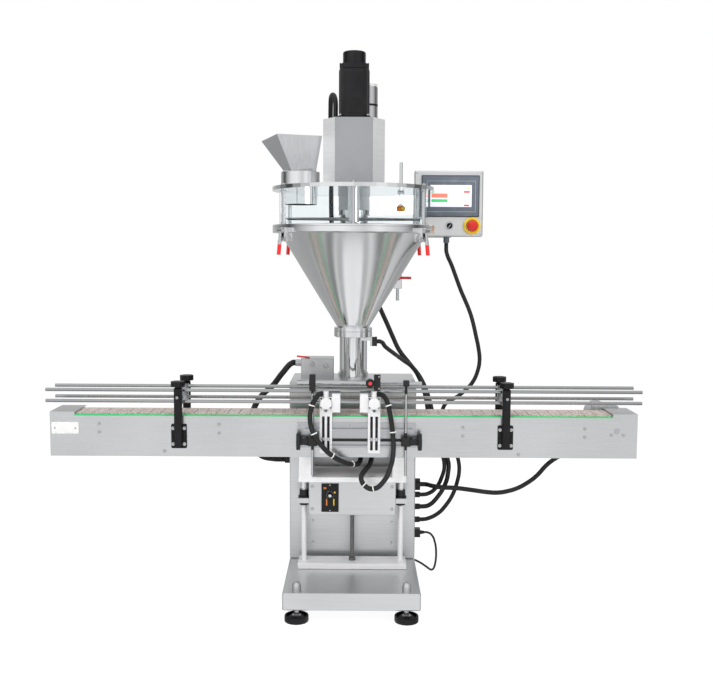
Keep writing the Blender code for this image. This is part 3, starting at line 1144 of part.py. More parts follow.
clamp_bodies = [at_clamp(box((CLAMP_BODY_INNER, -CLAMP_BODY_WIDTH / 2, CLAMP_BODY_LOW),
                             (CLAMP_BODY_OUTER, CLAMP_BODY_WIDTH / 2, CLAMP_BODY_TOP), PLATE_EDGE), angle)
                for angle in clamp_angles.values()]
name_part(unite(cone, *clamp_bodies), "hopper_cone", POLISHED_STEEL)

# Toggle clamp levers, each on a pivot across its body
pivot_circle = CLAMP_BODY_OUTER + GAP + CLAMP_PIVOT_RADIUS
for name, angle in clamp_angles.items():
    handle_top = (pivot_circle, 0, CLAMP_PIVOT_HEIGHT)
    handle_low = (pivot_circle + CLAMP_HANDLE_LENGTH * math.sin(CLAMP_LEAN), 0,
                  CLAMP_PIVOT_HEIGHT - CLAMP_HANDLE_LENGTH * math.cos(CLAMP_LEAN))
    lever = rod((handle_top, handle_low), CLAMP_HANDLE_RADIUS * 0.8)
    grip_top = Vector(handle_top).lerp(Vector(handle_low), 0.4)
    pivot = drum((pivot_circle, 0, CLAMP_PIVOT_HEIGHT), CLAMP_PIVOT_RADIUS, CLAMP_BODY_WIDTH, "Y", 12)
    grip = rod((grip_top, Vector(handle_low) + (Vector(handle_low) - grip_top) * 0.04), CLAMP_HANDLE_RADIUS)
    at_clamp(unite(lever, at_clamp(pivot, angle), at_clamp(grip, angle)), angle)
    name_part(lever, f"clamp_lever_{name}", RED_PLASTIC)

# Auger tube with its collar, funnel and the vibrator on its side
tube_bore = TUBE_RADIUS - TUBE_WALL
funnel_radius = CONE_NECK_RADIUS - 4 * CONE_WALL
tube_profile = ((FERRULE_RADIUS, NECK_LOW), (FERRULE_RADIUS, TUBE_COLLAR_LOW),
                (TUBE_RADIUS, TUBE_COLLAR_LOW), (TUBE_RADIUS, TUBE_LOW), (tube_bore, TUBE_LOW),
                (tube_bore, TUBE_COLLAR_LOW), (funnel_radius, NECK_LOW))
tube = turned(tube_profile, auger_axis, 32, closed=True)
vibrator_left = AUGER_X + (TUBE_RADIUS + tube_bore) / 2
vibrator_right = AUGER_X + VIBRATOR_REACH
vibrator_middle = TUBE_COLLAR_LOW - VIBRATOR_HEIGHT / 2 + VIBRATOR_RISE
half_width, half_height = VIBRATOR_WIDTH / 2, VIBRATOR_HEIGHT / 2
vibrator = box((AUGER_X + FERRULE_RADIUS - 4 * PLATE_EDGE, AUGER_Y - half_width,
                vibrator_middle - half_height),
               (vibrator_right, AUGER_Y + half_width, vibrator_middle + half_height), PLATE_EDGE)
vibrator_end = drum((vibrator_right + PLATE_EDGE, AUGER_Y, vibrator_middle), VIBRATOR_HEIGHT * 0.55,
                    4 * PLATE_EDGE, "X", 16)
vibrator_foot = box((AUGER_X + TUBE_RADIUS + 2 * PLATE_EDGE, AUGER_Y - half_width / 2,
                     TUBE_COLLAR_LOW - half_height),
                    (vibrator_right - half_width, AUGER_Y + half_width / 2, TUBE_COLLAR_LOW + PLATE_EDGE))
name_part(unite(tube, vibrator, vibrator_end, vibrator_foot), "auger_tube", POLISHED_STEEL)

# Auger: a flight twisted round its core, with the drive shaft above and the tip below
flight_height = AUGER_PITCH * AUGER_TURNS
bm = bmesh.new()
half_flight = math.pi * AUGER_FLIGHT_SHARE
section = [(AUGER_CORE_RADIUS, -half_flight), (AUGER_RADIUS, -half_flight * 0.6),
           (AUGER_RADIUS, half_flight * 0.6), (AUGER_CORE_RADIUS, half_flight)]
core_steps = 6
section += [(AUGER_CORE_RADIUS, half_flight + (2 * math.pi - 2 * half_flight) * i / core_steps)
            for i in range(1, core_steps)]
ring_verts = [bm.verts.new((radius * math.cos(angle), radius * math.sin(angle), AUGER_LOW))
              for radius, angle in section]
ring_edges = [bm.edges.new((ring_verts[i - 1], ring_verts[i])) for i in range(len(ring_verts))]
spun = bmesh.ops.spin(bm, geom=ring_verts + ring_edges, cent=(0, 0, 0), axis=(0, 0, 1),
                      dvec=(0, 0, AUGER_PITCH / AUGER_STEPS), angle=2 * math.pi * AUGER_TURNS,
                      steps=AUGER_STEPS * AUGER_TURNS, use_duplicate=False)
top_edges = [item for item in spun["geom_last"] if isinstance(item, bmesh.types.BMEdge)]
bmesh.ops.triangle_fill(bm, use_beauty=True, edges=ring_edges)
bmesh.ops.triangle_fill(bm, use_beauty=True, edges=top_edges)
bmesh.ops.recalc_face_normals(bm, faces=bm.faces)
flight_mesh = bpy.data.meshes.new("flight")
bm.to_mesh(flight_mesh)
bm.free()
auger = new_object(flight_mesh)
auger.matrix_world = Matrix.Translation(auger_axis)
shaft_top = COVER_BOX_TOP - COVER_BOX_WALL - GAP
flight_top = AUGER_LOW + flight_height
shaft_profile = ((0, shaft_top), (COUPLING_RADIUS, shaft_top),
                 (COUPLING_RADIUS, shaft_top - COUPLING_LENGTH),
                 (AUGER_SHAFT_RADIUS, shaft_top - COUPLING_LENGTH),
                 (AUGER_SHAFT_RADIUS, flight_top - OVERRUN / 2), (0, flight_top - OVERRUN / 2))
tip_profile = ((0, AUGER_LOW + OVERRUN / 2), (AUGER_SHAFT_RADIUS, AUGER_LOW + OVERRUN / 2),
               (AUGER_SHAFT_RADIUS, TUBE_LOW), (AUGER_TIP_RADIUS, TUBE_LOW - GAP),
               (AUGER_TIP_RADIUS, AUGER_TIP_LOW), (0, AUGER_TIP_LOW))
unite(auger, turned(shaft_profile, auger_axis, 16), turned(tip_profile, auger_axis, 16))
name_part(auger, "auger_screw", POLISHED_STEEL)

# Agitator: hollow shaft with its pulley and two arms that sweep the cone
agitator_profile = ((AGITATOR_TUBE_RADIUS, AGITATOR_TUBE_TOP),
                    (AGITATOR_TUBE_RADIUS, PULLEY_LOW + PULLEY_THICK),
                    (PULLEY_RADIUS, PULLEY_LOW + PULLEY_THICK), (PULLEY_RADIUS, PULLEY_LOW),
                    (AGITATOR_TUBE_RADIUS, PULLEY_LOW), (AGITATOR_TUBE_RADIUS, AGITATOR_TUBE_LOW),
                    (AGITATOR_TUBE_BORE, AGITATOR_TUBE_LOW), (AGITATOR_TUBE_BORE, AGITATOR_TUBE_TOP))
agitator = turned(agitator_profile, auger_axis, 24, closed=True)
cone_slope = (CONE_TOP_RADIUS - CONE_NECK_RADIUS) / (RIM_LOW - CONE_LOW)


def sweep_radius(height):
    """Radius at which an agitator arm runs along the cone."""
    return CONE_NECK_RADIUS + (height - CONE_LOW) * cone_slope - AGITATOR_WALL_GAP


arm_level = AGITATOR_TUBE_LOW + AGITATOR_ARM_DROP
for side in (-1, 1):
    arm_path = ((AGITATOR_TUBE_RADIUS - AGITATOR_ROD_RADIUS / 2, arm_level),
                (sweep_radius(RIM_LOW), arm_level), (sweep_radius(RIM_LOW), RIM_LOW),
                (sweep_radius(AGITATOR_LOW), AGITATOR_LOW), (sweep_radius(AGITATOR_LOW) / 2, AGITATOR_LOW))
    unite(agitator, rod([(AUGER_X + side * radius, AUGER_Y, height) for radius, height in arm_path],
                        AGITATOR_ROD_RADIUS))
name_part(agitator, "agitator", POLISHED_STEEL)


# Motor cover: a folded shell with chamfered front corners, and the agitator's motor
def cover_outline(inset):
    """Outline of the cover seen from above, drawn in by inset."""
    half, flat = COVER_BOX_WIDTH / 2 - inset, COVER_BOX_FLAT / 2 - inset / 2
    front, back = inset - COVER_BOX_AHEAD, COVER_BOX_BEHIND - inset
    corner = COVER_BOX_CHAMFER_DEPTH - COVER_BOX_AHEAD + inset / 2
    return [(-half, back), (-half, corner), (-flat, front), (flat, front), (half, corner), (half, back)]


cover_low = LID_TOP + GAP
cover = slab((cover_outline(0),), (AUGER_X, AUGER_Y, (cover_low + COVER_BOX_TOP) / 2),
             COVER_BOX_TOP - cover_low)
hollow_low, hollow_top = cover_low - OVERRUN, COVER_BOX_TOP - COVER_BOX_WALL
cut(cover, slab((cover_outline(COVER_BOX_WALL),), (AUGER_X, AUGER_Y, (hollow_low + hollow_top) / 2),
                hollow_top - hollow_low))
head_gland_y = behind(HEAD_GLAND_BEHIND)
unite(cover,
      drum((MIXER_MOTOR_X, behind(MIXER_MOTOR_BEHIND), (COVER_BOX_TOP + MIXER_MOTOR_TOP) / 2 - GAP),
           MIXER_MOTOR_RADIUS, MIXER_MOTOR_TOP - COVER_BOX_TOP + 2 * GAP, "Z", 24),
      drum((HEAD_GLAND_X, head_gland_y, COVER_BOX_TOP + GLAND_LENGTH / 2 - GAP), GLAND_RADIUS,
           GLAND_LENGTH + 2 * GAP, "Z", 12))
name_part(cover, "motor_cover", BRUSHED_STEEL)

# Servo motor: flange, body with broken corners and end cap
servo_low = COVER_BOX_TOP + GAP
half_servo = SERVO_SIDE / 2
servo = box((AUGER_X - half_servo, AUGER_Y - half_servo, servo_low),
            (AUGER_X + half_servo, AUGER_Y + half_servo, servo_low + SERVO_FLANGE_THICK), PLATE_EDGE)
body_half = half_servo - SERVO_STEP
unite(servo,
      box((AUGER_X - body_half, AUGER_Y - body_half, servo_low + SERVO_FLANGE_THICK - OVERRUN),
          (AUGER_X + body_half, AUGER_Y + body_half, SERVO_BODY_TOP), SERVO_EDGE),
      drum((AUGER_X, AUGER_Y, (SERVO_BODY_TOP + SERVO_TOP) / 2 - OVERRUN / 2), SERVO_CAP_RADIUS,
           SERVO_TOP - SERVO_BODY_TOP + OVERRUN, "Z", 24))
name_part(servo, "servo_motor", BLACK_PLASTIC)

# Feed chute: collar and tube through the lid, with a flared square hopper on top
collar_low = LID_TOP + GAP
chute_bore = CHUTE_TUBE_RADIUS - CHUTE_WALL
chute_profile = ((CHUTE_COLLAR_RADIUS, CHUTE_COLLAR_TOP), (CHUTE_COLLAR_RADIUS, collar_low),
                 (CHUTE_TUBE_RADIUS, collar_low), (CHUTE_TUBE_RADIUS, CHUTE_TUBE_LOW),
                 (chute_bore, CHUTE_TUBE_LOW), (chute_bore, CHUTE_COLLAR_TOP - CHUTE_WALL),
                 (0, CHUTE_COLLAR_TOP - CHUTE_WALL), (0, CHUTE_COLLAR_TOP))
chute = turned(chute_profile, (chute_x, chute_y, 0), 32, closed=True)
bm = bmesh.new()
bmesh.ops.create_cube(bm, size=1.0)
bmesh.ops.translate(bm, vec=(0, 0, 0.5), verts=bm.verts)
bmesh.ops.delete(bm, geom=[face for face in bm.faces if abs(face.normal.z) > 0.5], context="FACES_ONLY")
for vert in bm.verts:
    is_mouth = vert.co.z > 0.5
    size = CHUTE_MOUTH if is_mouth else CHUTE_THROAT
    shift = CHUTE_MOUTH_SHIFT if is_mouth else (0, 0)
    vert.co = (vert.co.x * size[0] + shift[0], vert.co.y * size[1] + shift[1],
               CHUTE_TOP if is_mouth else CHUTE_COLLAR_TOP - CHUTE_WALL)
flare_mesh = bpy.data.meshes.new("flare")
bm.to_mesh(flare_mesh)
bm.free()
flare = new_object(flare_mesh)
turn = Matrix.Translation((chute_x, chute_y, 0)) @ Matrix.Rotation(CHUTE_TURN, 4, "Z")
flare.matrix_world = turn
wall = flare.modifiers.new("wall", "SOLIDIFY")
wall.thickness = CHUTE_WALL
wall.offset = 1.0
throat = box((-CHUTE_THROAT[0] / 2, -CHUTE_THROAT[1] / 2, CHUTE_COLLAR_TOP - CHUTE_WALL - OVERRUN),
             (CHUTE_THROAT[0] / 2, CHUTE_THROAT[1] / 2, CHUTE_COLLAR_TOP + OVERRUN))
throat.matrix_world = turn
cut(chute, throat)
unite(chute, flare)
name_part(chute, "feed_chute", POLISHED_STEEL)

# Operator panel: enclosure with bezel, collars, cable gland and pivot eye
panel_front = behind(PANEL_AHEAD)
panel_back = panel_front + PANEL_DEPTH
panel_left, panel_right = PANEL_X - PANEL_WIDTH / 2, PANEL_X + PANEL_WIDTH / 2
panel = box((panel_left, panel_front, PANEL_LOW), (panel_right, panel_back, PANEL_LOW + PANEL_HEIGHT),
            PANEL_EDGE)
bezel_left = panel_left + BEZEL_INSET
bezel = box((bezel_left, panel_front - BEZEL_THICK, BEZEL_LOW),
            (bezel_left + BEZEL_WIDTH, panel_front + OVERRUN, BEZEL_LOW + BEZEL_HEIGHT), PLATE_EDGE)
stop_ring = drum((STOP_X, panel_front, BUTTON_HEIGHT), STOP_RING_RADIUS, 2 * STOP_RING_THICK, "Y", 24)
stop_collar = drum((STOP_X, panel_front - STOP_COLLAR_DEPTH / 2 + OVERRUN / 2, BUTTON_HEIGHT), STOP_COLLAR,
                   STOP_COLLAR_DEPTH + OVERRUN, "Y", 16)
selector_collar = drum((SELECTOR_X, panel_front, BUTTON_HEIGHT), SELECTOR_COLLAR, 2 * SELECTOR_COLLAR_DEPTH,
                       "Y", 16)
panel_gland = drum((PANEL_GLAND_X, (panel_front + panel_back) / 2, PANEL_LOW - GLAND_LENGTH / 2 + GAP),
                   GLAND_RADIUS, GLAND_LENGTH + 2 * GAP, "Z", 12)
eye_middle = eye_low + PIVOT_EYE_HEIGHT / 2
eye_disc = drum((PANEL_X, post_y, eye_middle), PIVOT_EYE_RADIUS, PIVOT_EYE_HEIGHT, "Z", 20)
eye_link = box((PANEL_X - PIVOT_EYE_RADIUS * 0.8, panel_back - OVERRUN, eye_low),
               (PANEL_X + PIVOT_EYE_RADIUS * 0.8, post_y, eye_low + PIVOT_EYE_HEIGHT))
unite(panel, bezel, stop_ring, stop_collar, selector_collar, panel_gland, eye_disc, eye_link)
stop_bore_depth = STOP_COLLAR_DEPTH + STOP_TRAVEL + OVERRUN
stop_collar_front = panel_front - STOP_COLLAR_DEPTH
selector_collar_front = panel_front - SELECTOR_COLLAR_DEPTH
cut(panel,
    turning_bore((PANEL_X, post_y, eye_middle), PIVOT_RADIUS, PIVOT_EYE_HEIGHT + 2 * OVERRUN, "Z", 24),
    drum((STOP_X, stop_collar_front + stop_bore_depth / 2 - OVERRUN / 2, BUTTON_HEIGHT),
         STOP_STEM_RADIUS + RUNNING_GAP, stop_bore_depth + OVERRUN, "Y", 16),
    turning_bore((SELECTOR_X, selector_collar_front + SELECTOR_DEPTH / 2 - OVERRUN / 2, BUTTON_HEIGHT),
                 STOP_STEM_RADIUS, SELECTOR_DEPTH + OVERRUN, "Y", 16))
name_part(panel, "operator_panel", BRUSHED_STEEL)

head_back = STOP_TRAVEL + GAP
stop_profile = ((0, head_back + STOP_HEAD_DEPTH), (STOP_HEAD_RADIUS * 0.7, head_back + STOP_HEAD_DEPTH),
                (STOP_HEAD_RADIUS, head_back + STOP_HEAD_DEPTH * 0.6), (STOP_HEAD_RADIUS * 0.85, head_back),
                (STOP_STEM_RADIUS, head_back), (STOP_STEM_RADIUS, -STOP_COLLAR_DEPTH),
                (0, -STOP_COLLAR_DEPTH))
stop_button = turned(stop_profile, (STOP_X, stop_collar_front, BUTTON_HEIGHT), 16, "Y")
name_part(stop_button, "estop_button", RED_PLASTIC)

knob_low = GAP
selector_profile = ((0, SELECTOR_DEPTH), (SELECTOR_KNOB_RADIUS * 0.9, SELECTOR_DEPTH),
                    (SELECTOR_KNOB_RADIUS, knob_low), (STOP_STEM_RADIUS, knob_low),
                    (STOP_STEM_RADIUS, GAP - SELECTOR_DEPTH), (0, GAP - SELECTOR_DEPTH))
name_part(turned(selector_profile, (SELECTOR_X, selector_collar_front, BUTTON_HEIGHT), 16, "Y"),
          "selector_knob", BLACK_PLASTIC)

# Dust extraction unit on the cabinet
dust_size = Vector(DUST_BOX)
dust_middle = Vector((DUST_BOX_X, behind(DUST_BOX_BEHIND), CABINET_TOP + GAP + DUST_BOX[2] / 2))
dust = box(dust_middle - dust_size / 2, dust_middle + dust_size / 2, PLATE_EDGE)
spigot_height = dust_middle.z + DUST_BOX[2] / 4
spigot_left = dust_middle.x - dust_size.x / 2 - DUST_SPIGOT_LENGTH
unite(dust, drum((spigot_left + DUST_SPIGOT_LENGTH / 2 + OVERRUN / 2, dust_middle.y, spigot_height),
                 DUST_SPIGOT_RADIUS, DUST_SPIGOT_LENGTH + OVERRUN, "X", 16))
name_part(dust, "dust_collector", BRUSHED_STEEL)


# Cords, hoses and the power lead
def cord(name, radius, stations):
    """A cord along a smooth curve through its stations, a point each few diameters."""
    return name_part(rod(smooth_route(stations, CORD_SPACING * radius), radius), name, BLACK_RUBBER)


def straight(start, along):
    """The first two stations of a cord that leaves a gland or fitting straight."""
    start = Vector(start)
    return start, start + STRAIGHT_END * Vector(along)


def into_cabinet(height, side=1):
    """The last two stations of a cord that enters a gland on the cabinet's side."""
    face = cabinet_right + GLAND_LENGTH + GAP if side > 0 else cabinet_left - GLAND_LENGTH - GAP
    return reversed(straight((face, gland_y, height), (side, 0, 0)))


cord("panel_cable", PANEL_CABLE_RADIUS,
     (*straight((PANEL_GLAND_X, panel_front + PANEL_DEPTH / 2, PANEL_LOW - GLAND_LENGTH - GAP), (0, 0, -1)),
      *PANEL_CABLE_ROUTE, *into_cabinet(GLAND_HEIGHTS[0])))
cord("head_cable", HEAD_CABLE_RADIUS,
     (*straight((HEAD_GLAND_X, head_gland_y, COVER_BOX_TOP + GLAND_LENGTH + GAP), (0, 0, 1)),
      *HEAD_CABLE_ROUTE, *into_cabinet(GLAND_HEIGHTS[1])))
cord("vibrator_cable", PANEL_CABLE_RADIUS,
     (*straight((vibrator_right + 3 * PLATE_EDGE + GAP, AUGER_Y, vibrator_middle), (1, 0, 0)),
      *VIBRATOR_CABLE_ROUTE, *into_cabinet(GLAND_HEIGHTS[2])))
cord("motor_cable", HOSE_RADIUS, (*MOTOR_CABLE_ROUTE, *into_cabinet(DUCT_HEIGHT)))
cord("dust_hose", DUST_HOSE_RADIUS,
     (*straight((spigot_left - GAP, dust_middle.y, spigot_height), (-1, 0, 0)),
      *DUST_HOSE_ROUTE, *into_cabinet(DUST_GLAND_HEIGHT, -1)))
junction_low = SIDE_LOW + SIDE_THICK
fitting_reach = GATE_FITTING_RADIUS + GAP
for name, x, side, route, end_x in (("left", GATE_X[0], -1, GATE_HOSE_LEFT_ROUTE, GATE_HOSE_ENDS[0]),
                                    ("right", GATE_X[1], 1, GATE_HOSE_RIGHT_ROUTE, GATE_HOSE_ENDS[1])):
    cord(f"gate_hose_{name}", HOSE_RADIUS,
         (*straight((x + side * fitting_reach, behind(-GATE_FITTING_AHEAD), GATE_HOSE_HEIGHT), (side, 0, 0)),
          *route, *reversed(straight((end_x, AUGER_Y, junction_low - GAP), (0, 0, -1)))))

# Power lead: a free run from the inlet to the floor, then its coil and plug
coil_half = COIL_THICK / 2
coil_x, coil_y = COIL_PLACE
cord("power_cord", POWER_CORD_RADIUS,
     (*straight((relief_end + GAP, gland_y, INLET_HEIGHT), (1, 0, 0)), *POWER_CORD_ROUTE,
      (coil_x, coil_y + COIL_RADIUS + coil_half + POWER_CORD_RADIUS + GAP, POWER_CORD_RADIUS + GAP)))
coil_profile = ((COIL_RADIUS + coil_half, COIL_THICK - PLATE_EDGE), (COIL_RADIUS + coil_half, PLATE_EDGE),
                (COIL_RADIUS + coil_half - PLATE_EDGE, 0), (COIL_RADIUS - coil_half + PLATE_EDGE, 0),
                (COIL_RADIUS - coil_half, PLATE_EDGE), (COIL_RADIUS - coil_half, COIL_THICK - PLATE_EDGE),
                (COIL_RADIUS - coil_half + PLATE_EDGE, COIL_THICK),
                (COIL_RADIUS + coil_half - PLATE_EDGE, COIL_THICK))
name_part(turned(coil_profile, (coil_x, coil_y, 0), 40, closed=True), "power_coil", BLACK_RUBBER)
plug_right = coil_x - COIL_RADIUS - coil_half - GAP
plug_size = Vector(PLUG_BODY)
body_right = plug_right - PLUG_RELIEF
plug = box((body_right - plug_size.x, coil_y - plug_size.y / 2, 0),
           (body_right, coil_y + plug_size.y / 2, plug_size.z), BASE_EDGE)
relief = drum((plug_right - (PLUG_RELIEF + OVERRUN) / 2 - GAP, coil_y, plug_size.z / 2),
              2 * POWER_CORD_RADIUS, PLUG_RELIEF + OVERRUN, "X", 12, POWER_CORD_RADIUS * RELIEF_END_SHARE)
pins = [drum((body_right - plug_size.x - PLUG_PIN_LENGTH / 2 + GAP, coil_y + side * PLUG_PIN_SPACING / 2,
              plug_size.z / 2), PLUG_PIN_RADIUS, PLUG_PIN_LENGTH + 2 * GAP, "X", 12) for side in (-1, 1)]
name_part(unite(plug, relief, *pins), "power_plug", BLACK_PLASTIC)
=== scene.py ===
"""Auger powder filler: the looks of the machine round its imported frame.

Metres, +Z up, +X along the conveyor, +Y to the rear, as in the frame.
"""
import math

import bmesh
import bpy
from mathutils import Matrix, Vector


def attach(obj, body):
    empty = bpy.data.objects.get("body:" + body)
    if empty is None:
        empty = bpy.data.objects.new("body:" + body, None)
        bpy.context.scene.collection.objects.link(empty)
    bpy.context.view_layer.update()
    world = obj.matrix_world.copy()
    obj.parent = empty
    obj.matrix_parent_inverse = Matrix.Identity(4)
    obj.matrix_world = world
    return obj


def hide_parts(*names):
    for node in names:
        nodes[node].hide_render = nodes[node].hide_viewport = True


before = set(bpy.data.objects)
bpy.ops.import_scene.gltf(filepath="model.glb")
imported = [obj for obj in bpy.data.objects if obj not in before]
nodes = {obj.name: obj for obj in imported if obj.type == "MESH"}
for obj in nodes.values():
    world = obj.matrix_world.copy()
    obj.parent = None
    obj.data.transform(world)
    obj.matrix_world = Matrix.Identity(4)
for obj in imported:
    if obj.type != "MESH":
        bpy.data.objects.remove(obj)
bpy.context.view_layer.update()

# The axis that the hopper, the filling tube and the servo share
AUGER = Vector((0.030, -0.0625, 0.0))

# Camera
# The picture was taken from the front at chest height, tilted a little down, with a
# moderately long lens.
LENS = 47.4
SENSOR = 36.0
CAMERA_PLACE = (0.0418, -3.2795, 1.217)
CAMERA_TILT = math.radians(84.89)
CAMERA_ROLL = math.radians(0.30)

camera_data = bpy.data.cameras.new("camera")
camera_data.lens = LENS
camera_data.sensor_width = SENSOR
camera = bpy.data.objects.new("camera", camera_data)
camera.matrix_world = (Matrix.Translation(CAMERA_PLACE) @ Matrix.Rotation(CAMERA_TILT, 4, "X")
                       @ Matrix.Rotation(CAMERA_ROLL, 4, "Z"))
bpy.context.scene.collection.objects.link(camera)
bpy.context.scene.camera = camera
bpy.context.scene.view_settings.view_transform = "Standard"


# Studio
# A white sweep under soft boxes. The room is white to the camera, and the metal sees
# it with a few dark flags, which give it its contrast.
def grey(value):
    return (value, value, value, 1.0)


def set_ramp(ramp, stops):
    while len(ramp.elements) < len(stops):
        ramp.elements.new(0.5)
    for element, (place, colour) in zip(ramp.elements, stops):
        element.position = place
        element.color = colour


class Socket:
    """A node's output, with arithmetic that adds Math nodes to its tree."""

    def __init__(self, tree, output=None):
        self.tree = tree
        self.output = output

    def node(self, kind, settings=None, output=0, **inputs):
        """The output of a new node: its type, its settings, then its values or links."""
        made = self.tree.nodes.new(kind)
        for key, value in (settings or {}).items():
            if key == "ramp":
                set_ramp(made.color_ramp, value)
            else:
                setattr(made, key, value)
        for key, value in inputs.items():
            socket = made.inputs[int(key[1:])] if key[1:].isdigit() else made.inputs[key.replace("_", " ")]
            if isinstance(value, Socket):
                self.tree.links.new(value.output, socket)
            else:
                socket.default_value = value
        return Socket(self.tree, made.outputs[output]) if made.outputs else None

    def apply(self, operation, first, second=0.0):
        return self.node("ShaderNodeMath", {"operation": operation}, i0=first, i1=second)

    def __add__(self, other):
        return self.apply("ADD", self, other)

    __radd__ = __add__

    def __sub__(self, other):
        return self.apply("SUBTRACT", self, other)

    def __rsub__(self, other):
        return self.apply("SUBTRACT", other, self)

    def __mul__(self, other):
        return self.apply("MULTIPLY", self, other)

    __rmul__ = __mul__

    def __truediv__(self, other):
        return self.apply("DIVIDE", self, other)

    def larger(self, other):
        return self.apply("MAXIMUM", self, other)

    def sine(self):
        return self.apply("SINE", self)

    def smooth(self, low, high):
        """0 below low, 1 above high, and a smooth step between."""
        return self.node("ShaderNodeMapRange", {"interpolation_type": "SMOOTHSTEP"}, Value=self,
                         From_Min=low, From_Max=high)

    def above(self, level):
        return self.apply("GREATER_THAN", self, level)

    def below(self, level):
        return self.apply("LESS_THAN", self, level)

    def between(self, low, high):
        return self.above(low) * self.below(high)

    def parts(self):
        """The X, Y and Z of a vector."""
        made = self.tree.nodes.new("ShaderNodeSeparateXYZ")
        self.tree.links.new(self.output, made.inputs[0])
        return (Socket(self.tree, made.outputs[axis]) for axis in "XYZ")

    def stretched(self, *scale):
        return self.node("ShaderNodeVectorMath", {"operation": "MULTIPLY"}, i0=self, i1=scale)

    def noise(self, scale, detail=3.0):
        return self.node("ShaderNodeTexNoise", Vector=self, Scale=scale, Detail=detail)

    def mix(self, first, second):
        """A colour between two, by this factor."""
        return self.node("ShaderNodeMix", {"data_type": "RGBA"}, 2, i0=self, i6=first, i7=second)


ROOM_FILL = 0.62
world = bpy.data.worlds.new("studio")
bpy.context.scene.world = world
world.use_nodes = True
world.node_tree.nodes.clear()
room = Socket(world.node_tree)
seen = room.node("ShaderNodeLightPath", None, "Is Camera Ray").larger(
    room.node("ShaderNodeLightPath", None, "Is Transmission Ray"))
aside, ahead, up = room.node("ShaderNodeTexCoord", None, "Generated").parts()
around = aside.apply("ARCTAN2", aside, 0.0 - ahead) / (2 * math.pi) + 0.5
flags = room.node("ShaderNodeValToRGB", {"ramp": (
    (0.00, grey(0.70)), (0.14, grey(0.34)), (0.22, grey(0.06)), (0.28, grey(0.50)), (0.36, grey(0.95)),
    (0.46, grey(1.00)), (0.54, grey(0.72)), (0.60, grey(1.00)), (0.70, grey(0.60)), (0.77, grey(0.08)),
    (0.85, grey(0.40)), (1.00, grey(0.70)))}, Fac=around)
FLOOR_FLAGS = tuple((place, grey(value)) for place, value in (
    (0.00, 0.45), (0.17, 0.28), (0.235, 0.80), (0.262, 0.10), (0.288, 0.10), (0.308, 0.88), (0.325, 0.40),
    (0.362, 0.40), (0.385, 0.98), (0.50, 0.90), (0.612, 0.98), (0.628, 0.40), (0.662, 0.40), (0.690, 0.88),
    (0.735, 0.10), (0.775, 0.10), (0.80, 0.75), (0.90, 0.28), (1.00, 0.45)))
in_metal = room.node("ShaderNodeLightPath", None, "Is Glossy Ray").mix(
    grey(ROOM_FILL), up.smooth(0.50, 0.95).mix(flags, grey(0.95)))
backdrop = room.node("ShaderNodeBackground", Color=seen.mix(in_metal, grey(1.0)))
room.node("ShaderNodeOutputWorld", Surface=backdrop)

FLOOR_SIZE = 14.0
# What the camera sees glow is a little over white, to make up for the share that is shaded.
FLOOR_WHITE = 1.14
FLOOR_GREY = 0.86
FLOOR_GLOW = 0.80
FLOOR_MIRRORED = 0.85
form = bmesh.new()
bmesh.ops.create_grid(form, x_segments=1, y_segments=1, size=FLOOR_SIZE)
floor_mesh = bpy.data.meshes.new("studio_floor")
form.to_mesh(floor_mesh)
form.free()
floor = bpy.data.objects.new("studio_floor", floor_mesh)
bpy.context.scene.collection.objects.link(floor)
floor_paint = bpy.data.materials.new("floor_paint")
floor_paint.use_nodes = True
floor_paint.node_tree.nodes.clear()
paint = Socket(floor_paint.node_tree)
seen = paint.node("ShaderNodeLightPath", None, "Is Camera Ray").larger(
    paint.node("ShaderNodeLightPath", None, "Is Transmission Ray"))
in_metal = paint.node("ShaderNodeLightPath", None, "Is Glossy Ray")
aside, ahead, up = paint.node("ShaderNodeTexCoord", None, "Object").parts()
aside, ahead = aside - AUGER.x, ahead - AUGER.y
around = aside.apply("ARCTAN2", aside, 0.0 - ahead) / (2 * math.pi) + 0.5
flags = paint.node("ShaderNodeValToRGB", {"ramp": FLOOR_FLAGS}, Fac=around)
floor_look = paint.node("ShaderNodeMixShader", i0=(seen * FLOOR_GLOW).larger(in_metal * FLOOR_MIRRORED),
                        i1=paint.node("ShaderNodeBsdfDiffuse", Color=grey(FLOOR_GREY)),
                        i2=paint.node("ShaderNodeEmission", Color=seen.mix(flags, grey(FLOOR_WHITE))))
paint.node("ShaderNodeOutputMaterial", Surface=floor_look)
floor_mesh.materials.append(floor_paint)

LIGHT_TARGET = Vector((0.0, 0.0, 0.9))
for name, place, size, power in (("key", (-1.9, -2.6, 2.9), 1.6, 62.0), ("fill", (2.4, -2.2, 1.7), 1.8, 34.0),
                                 ("top", (0.1, -0.3, 3.4), 1.8, 30.0), ("back", (0.6, 2.6, 2.2), 1.6, 22.0)):
    lamp = bpy.data.lights.new(name, "AREA")
    lamp.size = size
    lamp.energy = power
    holder = bpy.data.objects.new(name, lamp)
    holder.location = place
    holder.rotation_euler = (LIGHT_TARGET - Vector(place)).to_track_quat("-Z", "Y").to_euler()
    holder.visible_glossy = False
    bpy.context.scene.collection.objects.link(holder)


